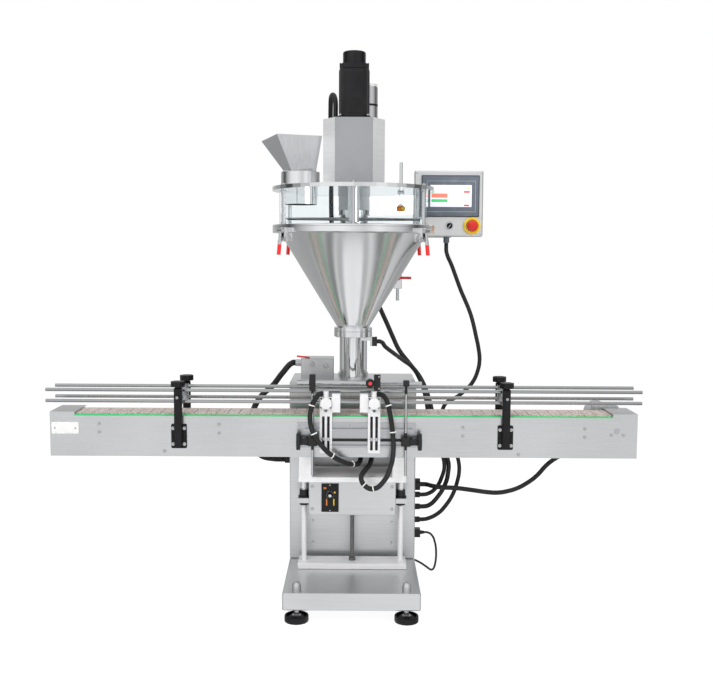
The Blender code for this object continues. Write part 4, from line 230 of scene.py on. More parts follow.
# Cables, hoses and the power lead
# Black sheathed cables and corrugated hoses, each from its gland on the machine to one on
# the cabinet. The power lead lies on the floor behind and ends in its coil and plug.
class Finish:
    """A material in the making: its main shader, and the object's coordinates."""

    def __init__(self, name, colour, roughness, metallic=0.0, **constants):
        self.material = bpy.data.materials.new(name)
        self.material.use_nodes = True
        self.tree = self.material.node_tree
        self.shader = self.tree.nodes["Principled BSDF"]
        self.colour = (*colour, 1.0)
        self.shader.inputs["Base Color"].default_value = self.colour
        self.shader.inputs["Roughness"].default_value = roughness
        self.shader.inputs["Metallic"].default_value = metallic
        for key, value in constants.items():
            self.shader.inputs[key.replace("_", " ")].default_value = value
        self.start = Socket(self.tree)
        self.where = self.start.node("ShaderNodeTexCoord", None, "Object")
        self.x, self.y, self.z = self.where.parts()

    def set(self, name, source):
        self.tree.links.new(source.output, self.shader.inputs[name])
        return self

    def bump(self, height, strength, distance=0.001):
        return self.set("Normal", self.start.node("ShaderNodeBump", None, 0, Height=height,
                                                  Strength=strength, Distance=distance))


def rubber(name, colour, roughness, ribs=0.0):
    """A black sheath with dust in its grain, ribbed across where it is a hose."""
    finish = Finish(name, colour, roughness)
    grain = finish.where.noise(420.0, 4.0)
    lighter = tuple(value * 1.8 + 0.004 for value in colour)
    finish.set("Base Color", finish.where.noise(14.0).smooth(0.42, 0.75).mix(finish.colour, (*lighter, 1.0)))
    finish.set("Roughness", roughness - 0.10 + 0.20 * grain)
    height = grain * 0.3
    if ribs:
        along, _, _ = finish.start.node("ShaderNodeTexCoord", None, "UV").parts()
        height = height + (along * (ribs * 2 * math.pi)).sine()
    return finish.bump(height, 0.5 if ribs else 0.25, 0.0012).material


CORD_STEP = 6.0
RIB_PITCH = 0.0055
cable_black = rubber("cable_black", (0.007, 0.007, 0.008), 0.46)


def smooth_route(stations, spacing):
    """Points a spacing apart on a smooth curve through a cord's stations."""
    stations = [Vector(station) for station in stations]
    ends = [2 * stations[0] - stations[1], *stations, 2 * stations[-1] - stations[-2]]
    points = [stations[0]]
    for before, start, stop, after in zip(ends, ends[1:], ends[2:], ends[3:]):
        count = max(1, round((stop - start).length / spacing))
        for step in range(1, count + 1):
            t = step / count
            points.append(0.5 * ((2 * start) + (stop - before) * t
                                 + (2 * before - 5 * start + 4 * stop - after) * t ** 2
                                 + (3 * start - before - 3 * stop + after) * t ** 3))
    return points


def length_of(points):
    return sum((after - before).length for before, after in zip(points, points[1:]))


def cord_piece(name, points, radius, material, body, *replaced):
    """A round cord as a curve through points, in place of its plain solids."""
    curve = bpy.data.curves.new(name, "CURVE")
    curve.dimensions = "3D"
    curve.bevel_depth = radius
    curve.bevel_resolution = 3
    curve.resolution_u = 5
    curve.use_fill_caps = True
    spline = curve.splines.new("BEZIER")
    spline.bezier_points.add(len(points) - 1)
    for knot, place in zip(spline.bezier_points, points):
        knot.co = place
        knot.handle_left_type = knot.handle_right_type = "AUTO"
    for knot in (spline.bezier_points[0], spline.bezier_points[-1]):
        knot.handle_left_type = knot.handle_right_type = "VECTOR"
    curve.materials.append(material)
    piece = bpy.data.objects.new(name, curve)
    bpy.context.scene.collection.objects.link(piece)
    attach(piece, body)
    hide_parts(*replaced)
    replaced[0] + "_finish"
    return piece


routes = {}


def machine_cord(node, body, radius, stations, ribbed=False):
    """A cord of the machine that leaves one gland and enters another."""
    points = smooth_route(stations, CORD_STEP * radius)
    routes[node] = (points, radius, body)
    length = length_of(smooth_route(stations, radius))
    material = rubber(node + "_black", (0.008, 0.008, 0.009), 0.5,
                      length / RIB_PITCH) if ribbed else cable_black
    piece = cord_piece(node + "_run", points, radius, material, body, node)


GLAND_OUT = (0.010, 0.0, 0.0)
panel_gland = Vector((0.2800, 0.1375, 0.236))
head_gland = Vector((0.2800, 0.1375, 0.285))
vibrator_gland = Vector((0.2800, 0.1375, 0.330))
motor_gland = Vector((0.2800, 0.1375, 0.369))
machine_cord("panel_cable", "panel", 0.0075, (
    (0.3727, 0.2185, 1.2601), (0.3727, 0.2185, 1.2501), (0.374, 0.2170, 1.225), (0.393, 0.207, 1.177),
    (0.427, 0.196, 1.085), (0.461, 0.186, 1.004), (0.483, 0.177, 0.919), (0.498, 0.177, 0.826),
    (0.474, 0.172, 0.748), (0.417, 0.163, 0.694), (0.372, 0.147, 0.670), (0.358, 0.138, 0.630),
    (0.371, 0.128, 0.573), (0.408, 0.128, 0.498), (0.424, 0.133, 0.422), (0.400, 0.138, 0.327),
    (0.352, 0.138, 0.262), (0.312, 0.1375, 0.240), panel_gland + Vector(GLAND_OUT), panel_gland))
machine_cord("head_cable", "head", 0.0085, (
    (-0.035, 0.0425, 1.6853), (-0.035, 0.0425, 1.6953), (-0.038, 0.055, 1.760), (-0.050, 0.092, 1.772),
    (-0.055, 0.135, 1.730), (-0.055, 0.175, 1.640), (-0.055, 0.210, 1.540), (-0.055, 0.234, 1.450),
    (-0.054, 0.236, 1.350), (-0.045, 0.228, 1.270), (-0.010, 0.205, 1.215), (0.045, 0.198, 1.160),
    (0.090, 0.206, 1.100), (0.126, 0.235, 1.023), (0.160, 0.228, 0.949), (0.201, 0.218, 0.861),
    (0.240, 0.208, 0.811), (0.280, 0.198, 0.760), (0.307, 0.177, 0.699), (0.321, 0.158, 0.646),
    (0.331, 0.138, 0.590), (0.356, 0.128, 0.517), (0.383, 0.128, 0.453), (0.375, 0.134, 0.376),
    (0.344, 0.1375, 0.319), (0.312, 0.1375, 0.289), head_gland + Vector(GLAND_OUT), head_gland))
machine_cord("vibrator_cable", "head", 0.0075, (
    (0.1128, -0.0625, 0.918), (0.1228, -0.0625, 0.918), (0.142, -0.033, 0.897), (0.172, 0.018, 0.870),
    (0.214, 0.098, 0.833), (0.248, 0.147, 0.803), (0.274, 0.172, 0.762), (0.295, 0.152, 0.703),
    (0.305, 0.138, 0.645), (0.315, 0.117, 0.575), (0.347, 0.108, 0.510), (0.366, 0.108, 0.454),
    (0.357, 0.122, 0.395), (0.333, 0.134, 0.350), (0.308, 0.1375, 0.333),
    vibrator_gland + Vector(GLAND_OUT), vibrator_gland))
machine_cord("motor_cable", "conveyor", 0.0085, (
    (0.9275, 0.1275, 0.5972), (0.9275, 0.1275, 0.585), (0.912, 0.1275, 0.550), (0.880, 0.1275, 0.524),
    (0.840, 0.1275, 0.503), (0.796, 0.1275, 0.482), (0.752, 0.1275, 0.452), (0.706, 0.1275, 0.402),
    (0.641, 0.122, 0.361), (0.563, 0.112, 0.345), (0.480, 0.103, 0.355), (0.409, 0.094, 0.366),
    (0.350, 0.098, 0.368), (0.318, 0.118, 0.369), (0.304, 0.1345, 0.369),
    motor_gland + Vector(GLAND_OUT), motor_gland))
machine_cord("dust_hose", "machine", 0.011, (
    (-0.1813, 0.1525, 0.81805), (-0.1913, 0.1525, 0.81805), (-0.228, 0.148, 0.782), (-0.266, 0.147, 0.733),
    (-0.305, 0.138, 0.698), (-0.330, 0.128, 0.658), (-0.348, 0.110, 0.593), (-0.345, 0.118, 0.530),
    (-0.310, 0.128, 0.478), (-0.262, 0.1375, 0.463), (-0.2303, 0.1375, 0.462), (-0.2203, 0.1375, 0.462)),
    ribbed=True)
machine_cord("gate_hose_left", "conveyor", 0.0085, (
    (-0.0698, -0.1525, 0.748), (-0.0798, -0.1525, 0.748), (-0.092, -0.172, 0.738), (-0.105, -0.182, 0.713),
    (-0.112, -0.182, 0.669), (-0.100, -0.185, 0.618), (-0.070, -0.188, 0.575), (-0.037, -0.182, 0.543),
    (0.002, -0.165, 0.518), (0.030, -0.135, 0.504), (0.052, -0.098, 0.500), (0.060, -0.0625, 0.5217),
    (0.060, -0.0625, 0.5317)), ribbed=True)
machine_cord("gate_hose_right", "conveyor", 0.0085, (
    (0.1124, -0.1525, 0.748), (0.1224, -0.1525, 0.748), (0.138, -0.167, 0.739), (0.149, -0.179, 0.713),
    (0.156, -0.182, 0.680), (0.164, -0.182, 0.625), (0.167, -0.182, 0.553), (0.158, -0.182, 0.506),
    (0.139, -0.182, 0.462), (0.101, -0.182, 0.431), (0.070, -0.180, 0.444), (0.060, -0.172, 0.468),
    (0.072, -0.150, 0.486), (0.088, -0.105, 0.495), (0.098, -0.0625, 0.5217), (0.098, -0.0625, 0.5317)),
    ribbed=True)

POWER_RADIUS = 0.004
REST = 0.0002
COIL_CENTRE = Vector((0.080, 0.415, 0.0))
COIL_INNER = 0.037
COIL_RINGS = 3
COIL_TURNS = 5.4
COIL_POINTS = 20
STEP_SHARE = 0.25
BEND_CENTRE = Vector((0.080, 0.383, 0.0))
BEND_RADIUS = 0.032
power_start = Vector((0.2980, 0.1375, 0.187))
power_points = smooth_route((
    power_start, (0.3080, 0.1375, 0.187), (0.326, 0.1390, 0.176), (0.339, 0.1430, 0.145),
    (0.344, 0.1500, 0.108), (0.344, 0.1680, 0.066), (0.340, 0.1980, 0.030), (0.333, 0.2400, 0.009),
    (0.320, 0.2850, 0.0045), (0.296, 0.3400, 0.0045), (0.258, 0.3950, 0.0045), (0.205, 0.4400, 0.0045),
    (0.145, 0.4650, 0.0045), (0.110, 0.4690, 0.0043)), CORD_STEP * POWER_RADIUS)


def on_circle(centre, radius, angle, height):
    return centre + Vector((radius * math.cos(angle), radius * math.sin(angle), height))


def coil_place(turn):
    """Where the lead is after that many turns: three rings inwards, then up and outwards."""
    whole = int(turn)
    spots = []
    for layer, ring in (divmod(whole, COIL_RINGS), divmod(whole + 1, COIL_RINGS)):
        ring = ring if layer % 2 else COIL_RINGS - 1 - ring
        spots.append((COIL_INNER + ring * 2 * POWER_RADIUS, (2 * layer + 1) * POWER_RADIUS + REST))
    share = max(0.0, (turn - whole - 1 + STEP_SHARE) / STEP_SHARE)
    share = share * share * (3 - 2 * share)
    radius, height = (first + (second - first) * share for first, second in zip(*spots))
    return on_circle(COIL_CENTRE, radius, math.pi / 2 + 2 * math.pi * turn, height)


coil_points = [coil_place(step / COIL_POINTS) for step in range(round(COIL_TURNS * COIL_POINTS) + 1)]
bend_points = [on_circle(BEND_CENTRE, BEND_RADIUS, math.radians(turn), height)
               for turn, height in ((270, 0.0130), (300, 0.0165), (330, 0.0200), (0, 0.0203), (30, 0.0203),
                                    (60, 0.0203), (90, 0.0203))]
lead_points = [*power_points, *coil_points, *bend_points, Vector((0.060, 0.415, 0.0203)),
               Vector((0.040, 0.415, 0.0203)), Vector((0.030, 0.415, 0.0198)),
               Vector((0.0228, 0.415, 0.0172))]
power_lead = cord_piece("power_lead", lead_points, POWER_RADIUS, cable_black, "machine", "power_cord",
                        "power_coil")
length_of(smooth_route(lead_points, POWER_RADIUS))


# Metal, plastic and paint of the machine's own parts
# Cabinet, plinth and plates are brushed stainless sheet, the hopper and rods are polished,
# the lift and the stops are anodised aluminium, and the fittings are black nylon.
def brushed(name, colour, roughness, across=(2.0, 2.0, 260.0), metallic=1.0, strength=0.10):
    """Sheet with a fine grain along one direction, faint stains and soft streaks."""
    finish = Finish(name, colour, roughness, metallic)
    grain = finish.where.stretched(*across).noise(3.0, 6.0)
    stain = finish.where.noise(2.2, 4.0)
    darker = (*(value * 0.86 for value in colour), 1.0)
    finish.set("Base Color", (grain * 0.5 + stain * 0.5).smooth(0.30, 0.66).mix(darker, finish.colour))
    finish.set("Roughness", roughness - 0.08 + 0.16 * grain + 0.08 * (stain - 0.5))
    return finish.bump(grain, strength, 0.0006).material


def polished(name, colour, roughness, **constants):
    """Bright metal with a trace of handling marks."""
    finish = Finish(name, colour, roughness, 1.0, **constants)
    marks = finish.where.noise(7.0, 5.0)
    finish.set("Roughness", roughness + 0.10 * marks.smooth(0.5, 0.8))
    return finish.bump(finish.where.noise(90.0, 2.0), 0.02, 0.0005).material


def moulded(name, colour, roughness, grain_scale=700.0, strength=0.18, **constants):
    """Moulded plastic or paint with a fine texture and dusty, slightly uneven colour."""
    finish = Finish(name, colour, roughness, **constants)
    grain = finish.where.noise(grain_scale, 2.0)
    patch = finish.where.noise(26.0, 3.0)
    lighter = (*(min(1.0, value * 1.25 + 0.003) for value in colour), 1.0)
    finish.set("Base Color", patch.smooth(0.45, 0.75).mix(finish.colour, lighter))
    finish.set("Roughness", roughness - 0.06 + 0.12 * patch)
    return finish.bump(grain, strength, 0.0004).material


sheet_steel = brushed("sheet_steel", (0.66, 0.67, 0.68), 0.34)
mirror_steel = polished("mirror_steel", (0.80, 0.81, 0.82), 0.075)
rod_steel = polished("rod_steel", (0.76, 0.77, 0.78), 0.14)
bolt_steel = polished("bolt_steel", (0.58, 0.58, 0.59), 0.24)
lift_aluminium = brushed("lift_aluminium", (0.90, 0.90, 0.91), 0.42, (3.0, 3.0, 160.0), 0.25, 0.06)
stop_aluminium = brushed("stop_aluminium", (0.90, 0.90, 0.91), 0.38, (140.0, 3.0, 3.0), 0.25, 0.06)
black_nylon = moulded("black_nylon", (0.005, 0.005, 0.006), 0.46, Specular_IOR_Level=0.3)
black_satin = moulded("black_satin", (0.004, 0.004, 0.005), 0.26, 500.0, 0.05, Specular_IOR_Level=0.35)
grey_paint = moulded("grey_paint", (0.34, 0.35, 0.36), 0.48, 320.0, 0.25)
dark_plate = moulded("dark_plate", (0.16, 0.17, 0.18), 0.44, 240.0, 0.15, Metallic=0.6)
red_plastic = moulded("red_plastic", (0.62, 0.018, 0.012), 0.30, 400.0, 0.05)
yellow_plastic = moulded("yellow_plastic", (0.86, 0.58, 0.02), 0.40, 400.0, 0.05)
white_plastic = moulded("white_plastic", (0.80, 0.80, 0.78), 0.42, 500.0, 0.06)
orange_plastic = moulded("orange_plastic", (0.85, 0.22, 0.02), 0.40, 500.0, 0.06)

belt = Finish("belt_plastic", (0.50, 0.40, 0.35), 0.52)
wear = belt.where.stretched(7.0, 60.0, 7.0).noise(2.0, 4.0)
speck = belt.where.noise(260.0, 2.0)
worn = wear.smooth(0.35, 0.72).mix((0.40, 0.30, 0.26, 1.0), (0.55, 0.46, 0.42, 1.0))
belt.set("Base Color", speck.smooth(0.50, 0.62).mix(worn, (0.78, 0.75, 0.73, 1.0)))
belt.set("Roughness", 0.42 + 0.22 * wear)
belt_plastic = belt.bump(belt.where.noise(500.0, 2.0), 0.15, 0.0004).material

clear = Finish("clear_acrylic", (0.93, 0.96, 0.97), 0.03, Transmission_Weight=1.0, IOR=1.12)
clear.set("Roughness", 0.02 + 0.10 * clear.where.noise(30.0, 3.0).smooth(0.55, 0.85))
clear_acrylic = clear.material

def two_tone(name, base, other, where):
    """A finish that turns into another where a mask of the object's place says so."""
    finish = Finish(name, base[0], base[1], base[2])
    mask = where(finish)
    grain = finish.where.stretched(2.0, 2.0, 220.0).noise(3.0, 5.0)
    shade = finish.where.noise(3.0, 4.0)
    darker = (*(value * 0.86 for value in base[0]), 1.0)
    lighter = (*(value * 1.2 + 0.003 for value in other[0]), 1.0)
    plain = (grain * 0.5 + shade * 0.5).smooth(0.30, 0.66).mix(darker, finish.colour)
    finish.set("Base Color", mask.mix(plain, shade.smooth(0.4, 0.7).mix((*other[0], 1.0), lighter)))
    finish.set("Roughness", mask * (other[1] - base[1]) + base[1] - 0.06 + 0.12 * grain)
    finish.set("Metallic", mask * (other[2] - base[2]) + base[2])
    return finish.bump(grain, 0.08, 0.0006).material


def unless(mask):
    return 1.0 - mask


SHEET = ((0.74, 0.75, 0.76), 0.34, 1.0)
PLATE = ((0.70, 0.71, 0.72), 0.28, 1.0)
ROD = ((0.62, 0.63, 0.64), 0.16, 1.0)
BLACK = ((0.006, 0.006, 0.007), 0.44, 0.0)
GREEN = ((0.03, 0.50, 0.16), 0.40, 0.0)
RED = ((0.72, 0.012, 0.012), 0.28, 0.0)
FOOT_TOP = 0.0215
plinth_finish = two_tone("plinth_sheet", SHEET, BLACK, lambda f: f.z.below(FOOT_TOP))
cabinet_finish = two_tone("cabinet_sheet", SHEET, BLACK, lambda f: unless(f.x.between(-0.1983, 0.2580)))
housing_finish = two_tone("housing_sheet", SHEET, BLACK, lambda f: (
    unless(f.x.between(-0.1231, 0.1831)) * unless(f.z.between(0.3408, 0.3585))).larger(
        f.y.below(-0.03765) * f.z.between(0.311, 0.414)))
side_finish = two_tone("side_sheet", PLATE, GREEN,
                       lambda f: f.z.between(0.6667, 0.6720) * f.x.between(-0.9134, 0.9134))
rear_side_finish = two_tone("rear_side_sheet", PLATE, GREEN, lambda f: f.z.between(0.6667, 0.6720))
stand_finish = two_tone("stand_rod", ROD, BLACK, lambda f: f.z.between(0.5590, 0.6180).larger(
    f.z.above(0.7500) * f.x.between(-0.1160, -0.0945)).larger(f.x.between(0.0735, 0.1240)).larger(
        f.z.above(0.7500) * f.x.between(0.1990, 0.2198)).larger(
                unless(f.x.between(-0.1190, 0.2240)) * f.z.below(0.7000)))
lever_finish = two_tone("toggle_lever", ROD, RED, lambda f: f.z.below(1.2465))
mount_finish = two_tone("mount_sheet", ((0.56, 0.57, 0.59), 0.30, 1.0), BLACK, lambda f: (
    f.y.below(-0.1372) * f.z.between(0.5835, 0.5935)))
tube_finish = two_tone("tube_steel", ((0.76, 0.77, 0.78), 0.09, 1.0), BLACK, lambda f: f.x.above(0.0950))
panel_finish = two_tone("panel_sheet", ((0.78, 0.785, 0.79), 0.34, 0.75), ((0.10, 0.115, 0.14), 0.35, 0.0),
                        lambda f: (f.y.below(0.1973) * f.z.above(1.350)).larger(f.z.below(1.2823)))
cover_finish = two_tone("cover_sheet", ((0.90, 0.905, 0.91), 0.34, 0.45), ((0.40, 0.41, 0.43), 0.32, 1.0),
                        lambda f: f.y.below(-0.1618))
rail_steel = polished("rail_steel", (0.44, 0.45, 0.46), 0.20)
cone_steel = polished("cone_steel", (0.82, 0.83, 0.84), 0.13)
chute_steel = brushed("chute_steel", (0.66, 0.67, 0.69), 0.20, (60.0, 60.0, 2.0), 1.0, 0.03)
THREAD_PITCH = 0.0040
screw_steel = Finish("screw_thread", (0.30, 0.30, 0.31), 0.30, 1.0)
# One wave up the screw gives the thread its bump and also its colour: painted shade in the grooves and
# painted highlight on the crests.
thread = (screw_steel.z * (2 * math.pi / THREAD_PITCH)).sine()
screw_steel.set("Base Color", thread.smooth(-1.0, 1.0).mix(grey(0.10), grey(0.46)))
thread_steel = screw_steel.bump(thread, 0.8, 0.001).material

NODE_FINISHES = {
    plinth_finish: ("base_plinth",),
    cabinet_finish: ("cabinet",),
    housing_finish: ("lift_housing",),
    sheet_steel: ("dust_collector", "agitator"),
    cover_finish: ("motor_cover",),
    panel_finish: ("operator_panel",),
    side_finish: ("conveyor_front_plate",),
    rear_side_finish: ("conveyor_rear_plate",),
    mirror_steel: ("lid_plate",),
    chute_steel: ("feed_chute",),
    tube_finish: ("auger_tube",),
    rail_steel: ("front_rails", "rear_rails"),
    rod_steel: ("head_column", "stop_pin_left", "stop_pin_right", "auger_screw"),
    thread_steel: ("lead_screw",),
    stand_finish: ("sensor_stand_left", "sensor_stand_right"),
    lift_aluminium: ("lift_carriage", "head_bracket"),
    stop_aluminium: ("stop_unit_left", "stop_unit_right"),
    black_nylon: ("rail_bracket_front_left", "rail_bracket_front_right", "rail_bracket_rear_left",
                  "rail_bracket_rear_right", "rail_knob_front_left", "rail_knob_front_right",
                  "rail_knob_rear_left", "rail_knob_rear_right", "selector_knob", "speed_dial", "power_plug"),
    black_satin: ("servo_motor",),
    grey_paint: ("conveyor_gearmotor", "idler_sprocket", "drive_sprocket"),
    mount_finish: ("stop_mount_plate",),
    red_plastic: ("estop_button", "column_lock_lever"),
    lever_finish: ("clamp_lever_front_left", "clamp_lever_front_right", "clamp_lever_rear_left",
                   "clamp_lever_rear_right"),
    belt_plastic: ("slat_chain",),
}
for finish, names in NODE_FINISHES.items():
    for name in names:
        nodes[name].material_slots[0].material = finish


# Hopper
# A spun cone of polished stainless with a flat rim, a clear acrylic ring between rim and
# lid, and tie rods with nuts that clamp the ring. The cone ends in a flanged neck.
class Piece:
    """A mesh in the making: shapes join it one at a time, each in one of its materials."""

    def __init__(self, name, body, slot, *materials):
        self.name, self.body, self.slot, self.materials = name, body, slot, materials
        self.form = bmesh.new()

    def join(self, shape, material, turn=None):
        if turn is not None:
            bmesh.ops.transform(shape, matrix=turn, verts=shape.verts)
        for face in shape.faces:
            face.material_index = material
            face.smooth = True
        mesh = bpy.data.meshes.new("shape")
        shape.to_mesh(mesh)
        shape.free()
        self.form.from_mesh(mesh)
        bpy.data.meshes.remove(mesh)
        return self

    def block(self, low, high, edge=0.0008, material=0, turn=None):
        shape = bmesh.new()
        low, high = Vector(low), Vector(high)
        bmesh.ops.create_cube(shape, size=1.0)
        bmesh.ops.scale(shape, vec=high - low, verts=shape.verts)
        bmesh.ops.translate(shape, vec=(low + high) / 2, verts=shape.verts)
        if edge:
            bmesh.ops.bevel(shape, geom=shape.edges[:], offset=edge, segments=2, profile=0.5,
                            affect="EDGES", material=-1)
        return self.join(shape, material, turn)

    def turned(self, place, profile, axis="Z", material=0, steps=64, closed=False, turn=None):
        """A turned shape from (radius, height) points; its axis Z, X, or Y to the front."""
        shape = bmesh.new()
        rim = [shape.verts.new((radius, 0.0, height)) for radius, height in profile]
        edges = [shape.edges.new(pair) for pair in zip(rim, rim[1:])]
        if closed:
            edges.append(shape.edges.new((rim[-1], rim[0])))
        bmesh.ops.spin(shape, geom=rim + edges, cent=(0, 0, 0), axis=(0, 0, 1), angle=2 * math.pi,
                       steps=steps, use_merge=True, use_duplicate=False)
        bmesh.ops.remove_doubles(shape, verts=shape.verts, dist=0.00002)
        bmesh.ops.recalc_face_normals(shape, faces=shape.faces)
        spin = {"Z": Matrix.Identity(4), "X": Matrix.Rotation(math.radians(90), 4, "Y"),
                "Y": Matrix.Rotation(math.radians(90), 4, "X")}[axis]
        bmesh.ops.transform(shape, matrix=Matrix.Translation(place) @ spin, verts=shape.verts)
        return self.join(shape, material, turn)

    def screw(self, place, radius, axis="Y", material=0, head=0.45, sides=6):
        """A socket-head screw: a round head with a six-sided recess."""
        height = radius * head * 2
        return self.turned(place, ((radius * 0.45, height * 0.45), (radius * 0.45, height),
                                   (radius * 0.85, height), (radius, height * 0.8), (radius, 0)), axis,
                           material, 24).turned(
            place, ((0, height * 0.45), (radius * 0.46, height * 0.45)), axis, material, sides)

    def nut(self, place, radius, height, axis="Z", material=0):
        """A six-sided nut with turned-off corners."""
        return self.turned(place, ((0, height), (radius * 0.86, height), (radius, height * 0.86), (radius, 0),
                                   (0, 0)), axis, material, 6)

    def done(self, *replaced, angle=32):
        mesh = bpy.data.meshes.new(self.name)
        self.form.to_mesh(mesh)
        self.form.free()
        mesh.set_sharp_from_angle(angle=math.radians(angle))
        for material in self.materials:
            mesh.materials.append(material)
        piece = bpy.data.objects.new(self.name, mesh)
        bpy.context.scene.collection.objects.link(piece)
        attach(piece, self.body)
        if replaced:
            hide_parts(*replaced)
        return piece


LID_RADIUS = 0.275
LID_LOW = 1.4275
LID_TOP = 1.440
FRAME_LOW = 1.3053
FRAME_TOP = 1.3133
WINDOW_TOP = 1.4272
TIE_CIRCLE = 0.264
TIE_RADIUS = 0.006
ROUND_STEPS = 144
ring = Piece("acrylic_ring", "head", "hopper_window_finish", clear_acrylic)
ring.turned(AUGER, ((0.2520, WINDOW_TOP), (0.2520, 1.3136), (0.2480, 1.3136), (0.2480, WINDOW_TOP)),
            steps=ROUND_STEPS, closed=True)
ring.done("hopper_window")

frame_ring = Piece("window_ring", "head", "window_frame_finish", mirror_steel, chute_steel)
frame_ring.turned(AUGER, ((0.2735, FRAME_TOP), (LID_RADIUS, FRAME_TOP - 0.0015),
                          (LID_RADIUS, FRAME_LOW + 0.0010), (0.2740, FRAME_LOW), (0.2380, FRAME_LOW),
                          (0.2380, FRAME_TOP)), steps=ROUND_STEPS,
                  closed=True)
tie_places = [on_circle(AUGER, TIE_CIRCLE, math.radians(30 + 60 * index), 0.0) for index in range(6)]
for place in tie_places:
    frame_ring.turned(place, ((0, WINDOW_TOP), (0.0075, WINDOW_TOP), (0.0075, WINDOW_TOP - 0.005),
                              (TIE_RADIUS, WINDOW_TOP - 0.007), (TIE_RADIUS, FRAME_TOP + 0.006),
                              (0.0075, FRAME_TOP + 0.005), (0.0075, FRAME_TOP - 0.001),
                              (0, FRAME_TOP - 0.001)),
                      material=1, steps=24)
frame_ring.done("window_frame")

cone = Piece("spun_cone", "head", "hopper_cone_finish", cone_steel, rod_steel)
cone.turned(AUGER, ((0.2740, 1.3050), (LID_RADIUS, 1.3040), (LID_RADIUS, 1.2880), (0.2740, 1.2870),
                    (0.2530, 1.2870), (0.2485, 1.2845), (0.0580, 0.9740), (0.0555, 0.9700), (0.0555, 0.9673),
                    (0.0640, 0.9673), (0.0650, 0.9660), (0.0650, 0.9566), (0.0640, 0.9553), (0.0535, 0.9553),
                    (0.0535, 0.9700), (0.2480, 1.2870), (0.2480, 1.3050)), steps=ROUND_STEPS, closed=True)
CLAMP_ANGLES = {"front_left": 220, "front_right": 320, "rear_left": 140, "rear_right": 40}
for angle in CLAMP_ANGLES.values():
    at_rim = Matrix.Translation(AUGER) @ Matrix.Rotation(math.radians(angle), 4, "Z")
    cone.block((0.2655, -0.012, 1.2560), (0.2700, 0.012, 1.2865), 0.0010, 1, at_rim)
    for side in (-1, 1):
        cone.block((0.2690, side * 0.0095 - 0.0018, 1.2560),
                   (0.2972, side * 0.0095 + 0.0018, 1.3010), 0.0008, 1, at_rim)
    cone.block((0.2740, -0.0045, 1.2830), (0.2960, 0.0045, 1.2990), 0.0015, 1, at_rim)
    cone.turned((0, 0, 0), ((0, 0.0115), (0.0035, 0.0115), (0.0035, -0.0115), (0, -0.0115)), "Y", 1, 16,
                turn=at_rim @ Matrix.Translation((0.2840, 0, 1.2660)))
cone.done("hopper_cone")

lid_trim = Piece("lid_fittings", "head", "lid_plate_finish", bolt_steel, rod_steel)
for place in tie_places:
    lid_trim.turned(place + Vector((0, 0, LID_TOP)),
                    ((0, 0.0065), (0.0045, 0.0062), (0.0068, 0.0045), (0.0072, 0),
                                                      (0, 0)), steps=24)
LEVEL_ROD = Vector((0.190, -0.0625, 0.0))
lid_trim.turned(LEVEL_ROD, ((0, 1.527), (0.0048, 1.527), (0.0055, 1.526), (0.0055, 1.4402),
                            (0, 1.4402)), material=1, steps=24)
lid_trim.nut(LEVEL_ROD + Vector((0, 0, LID_TOP)), 0.0115, 0.008)
lid_trim.nut(LEVEL_ROD + Vector((0, 0, LID_LOW - 0.008)), 0.0115, 0.008)
lid_trim.done()

# Powder level probe
# An amber capacitive probe in an orange holder on the level rod, seen through the ring.
probe_piece = Piece("level_probe", "head", "lid_plate_finish", orange_plastic, yellow_plastic, bolt_steel)
probe_piece.block((0.1760, -0.0780, 1.3620), (0.2040, -0.0500, 1.3800), 0.0030)
probe_piece.turned((0.1975, -0.0785, 1.3710),
                   ((0, 0.004), (0.0065, 0.004), (0.0080, 0.002), (0.0080, 0), (0, 0)), "Y", 1, 24)
probe_piece.nut((0.1900, -0.0625, 1.3800), 0.0100, 0.0060, "Z", 2)
probe_piece.done()

# Motors on the cover
# A black servo with raised strips down its sides and a round end cap, bolted to its flange,
# and the bare stirring motor with a black band behind it. Pop rivets hold the folded cover.
SERVO_LOW = 1.6633
servo = Piece("servo_body", "head", "servo_motor_finish", black_satin, bolt_steel)
servo.block(AUGER + Vector((-0.0545, -0.0545, SERVO_LOW)), AUGER + Vector((0.0545, 0.0545, 1.6740)), 0.003)
servo.block(AUGER + Vector((-0.0465, -0.0465, 1.6740)), AUGER + Vector((0.0465, 0.0465, 1.8480)), 0.0075)
for index in range(4):
    turn = Matrix.Translation(AUGER) @ Matrix.Rotation(math.radians(90 * index), 4, "Z")
    servo.block((-0.0330, -0.0500, 1.6740), (0.0330, -0.0440, 1.8280), 0.0016, 0, turn)
    servo.block((-0.0270, -0.0512, 1.6840), (0.0270, -0.0480, 1.8240), 0.0010, 0, turn)
    servo.block((-0.0370, -0.0490, 1.8310), (0.0370, -0.0440, 1.8480), 0.0016, 0, turn)
servo.turned(AUGER, ((0, 1.8900), (0.0355, 1.8900), (0.0375, 1.8885), (0.0385, 1.8860), (0.0385, 1.8500),
                     (0.0400, 1.8490), (0.0400, 1.8475), (0, 1.8475)), steps=72)
for side in (-1, 1):
    for depth in (-1, 1):
        servo.screw(AUGER + Vector((side * 0.0455, depth * 0.0455, 1.6760)), 0.0048, "Z", 1)
servo.done("servo_motor")

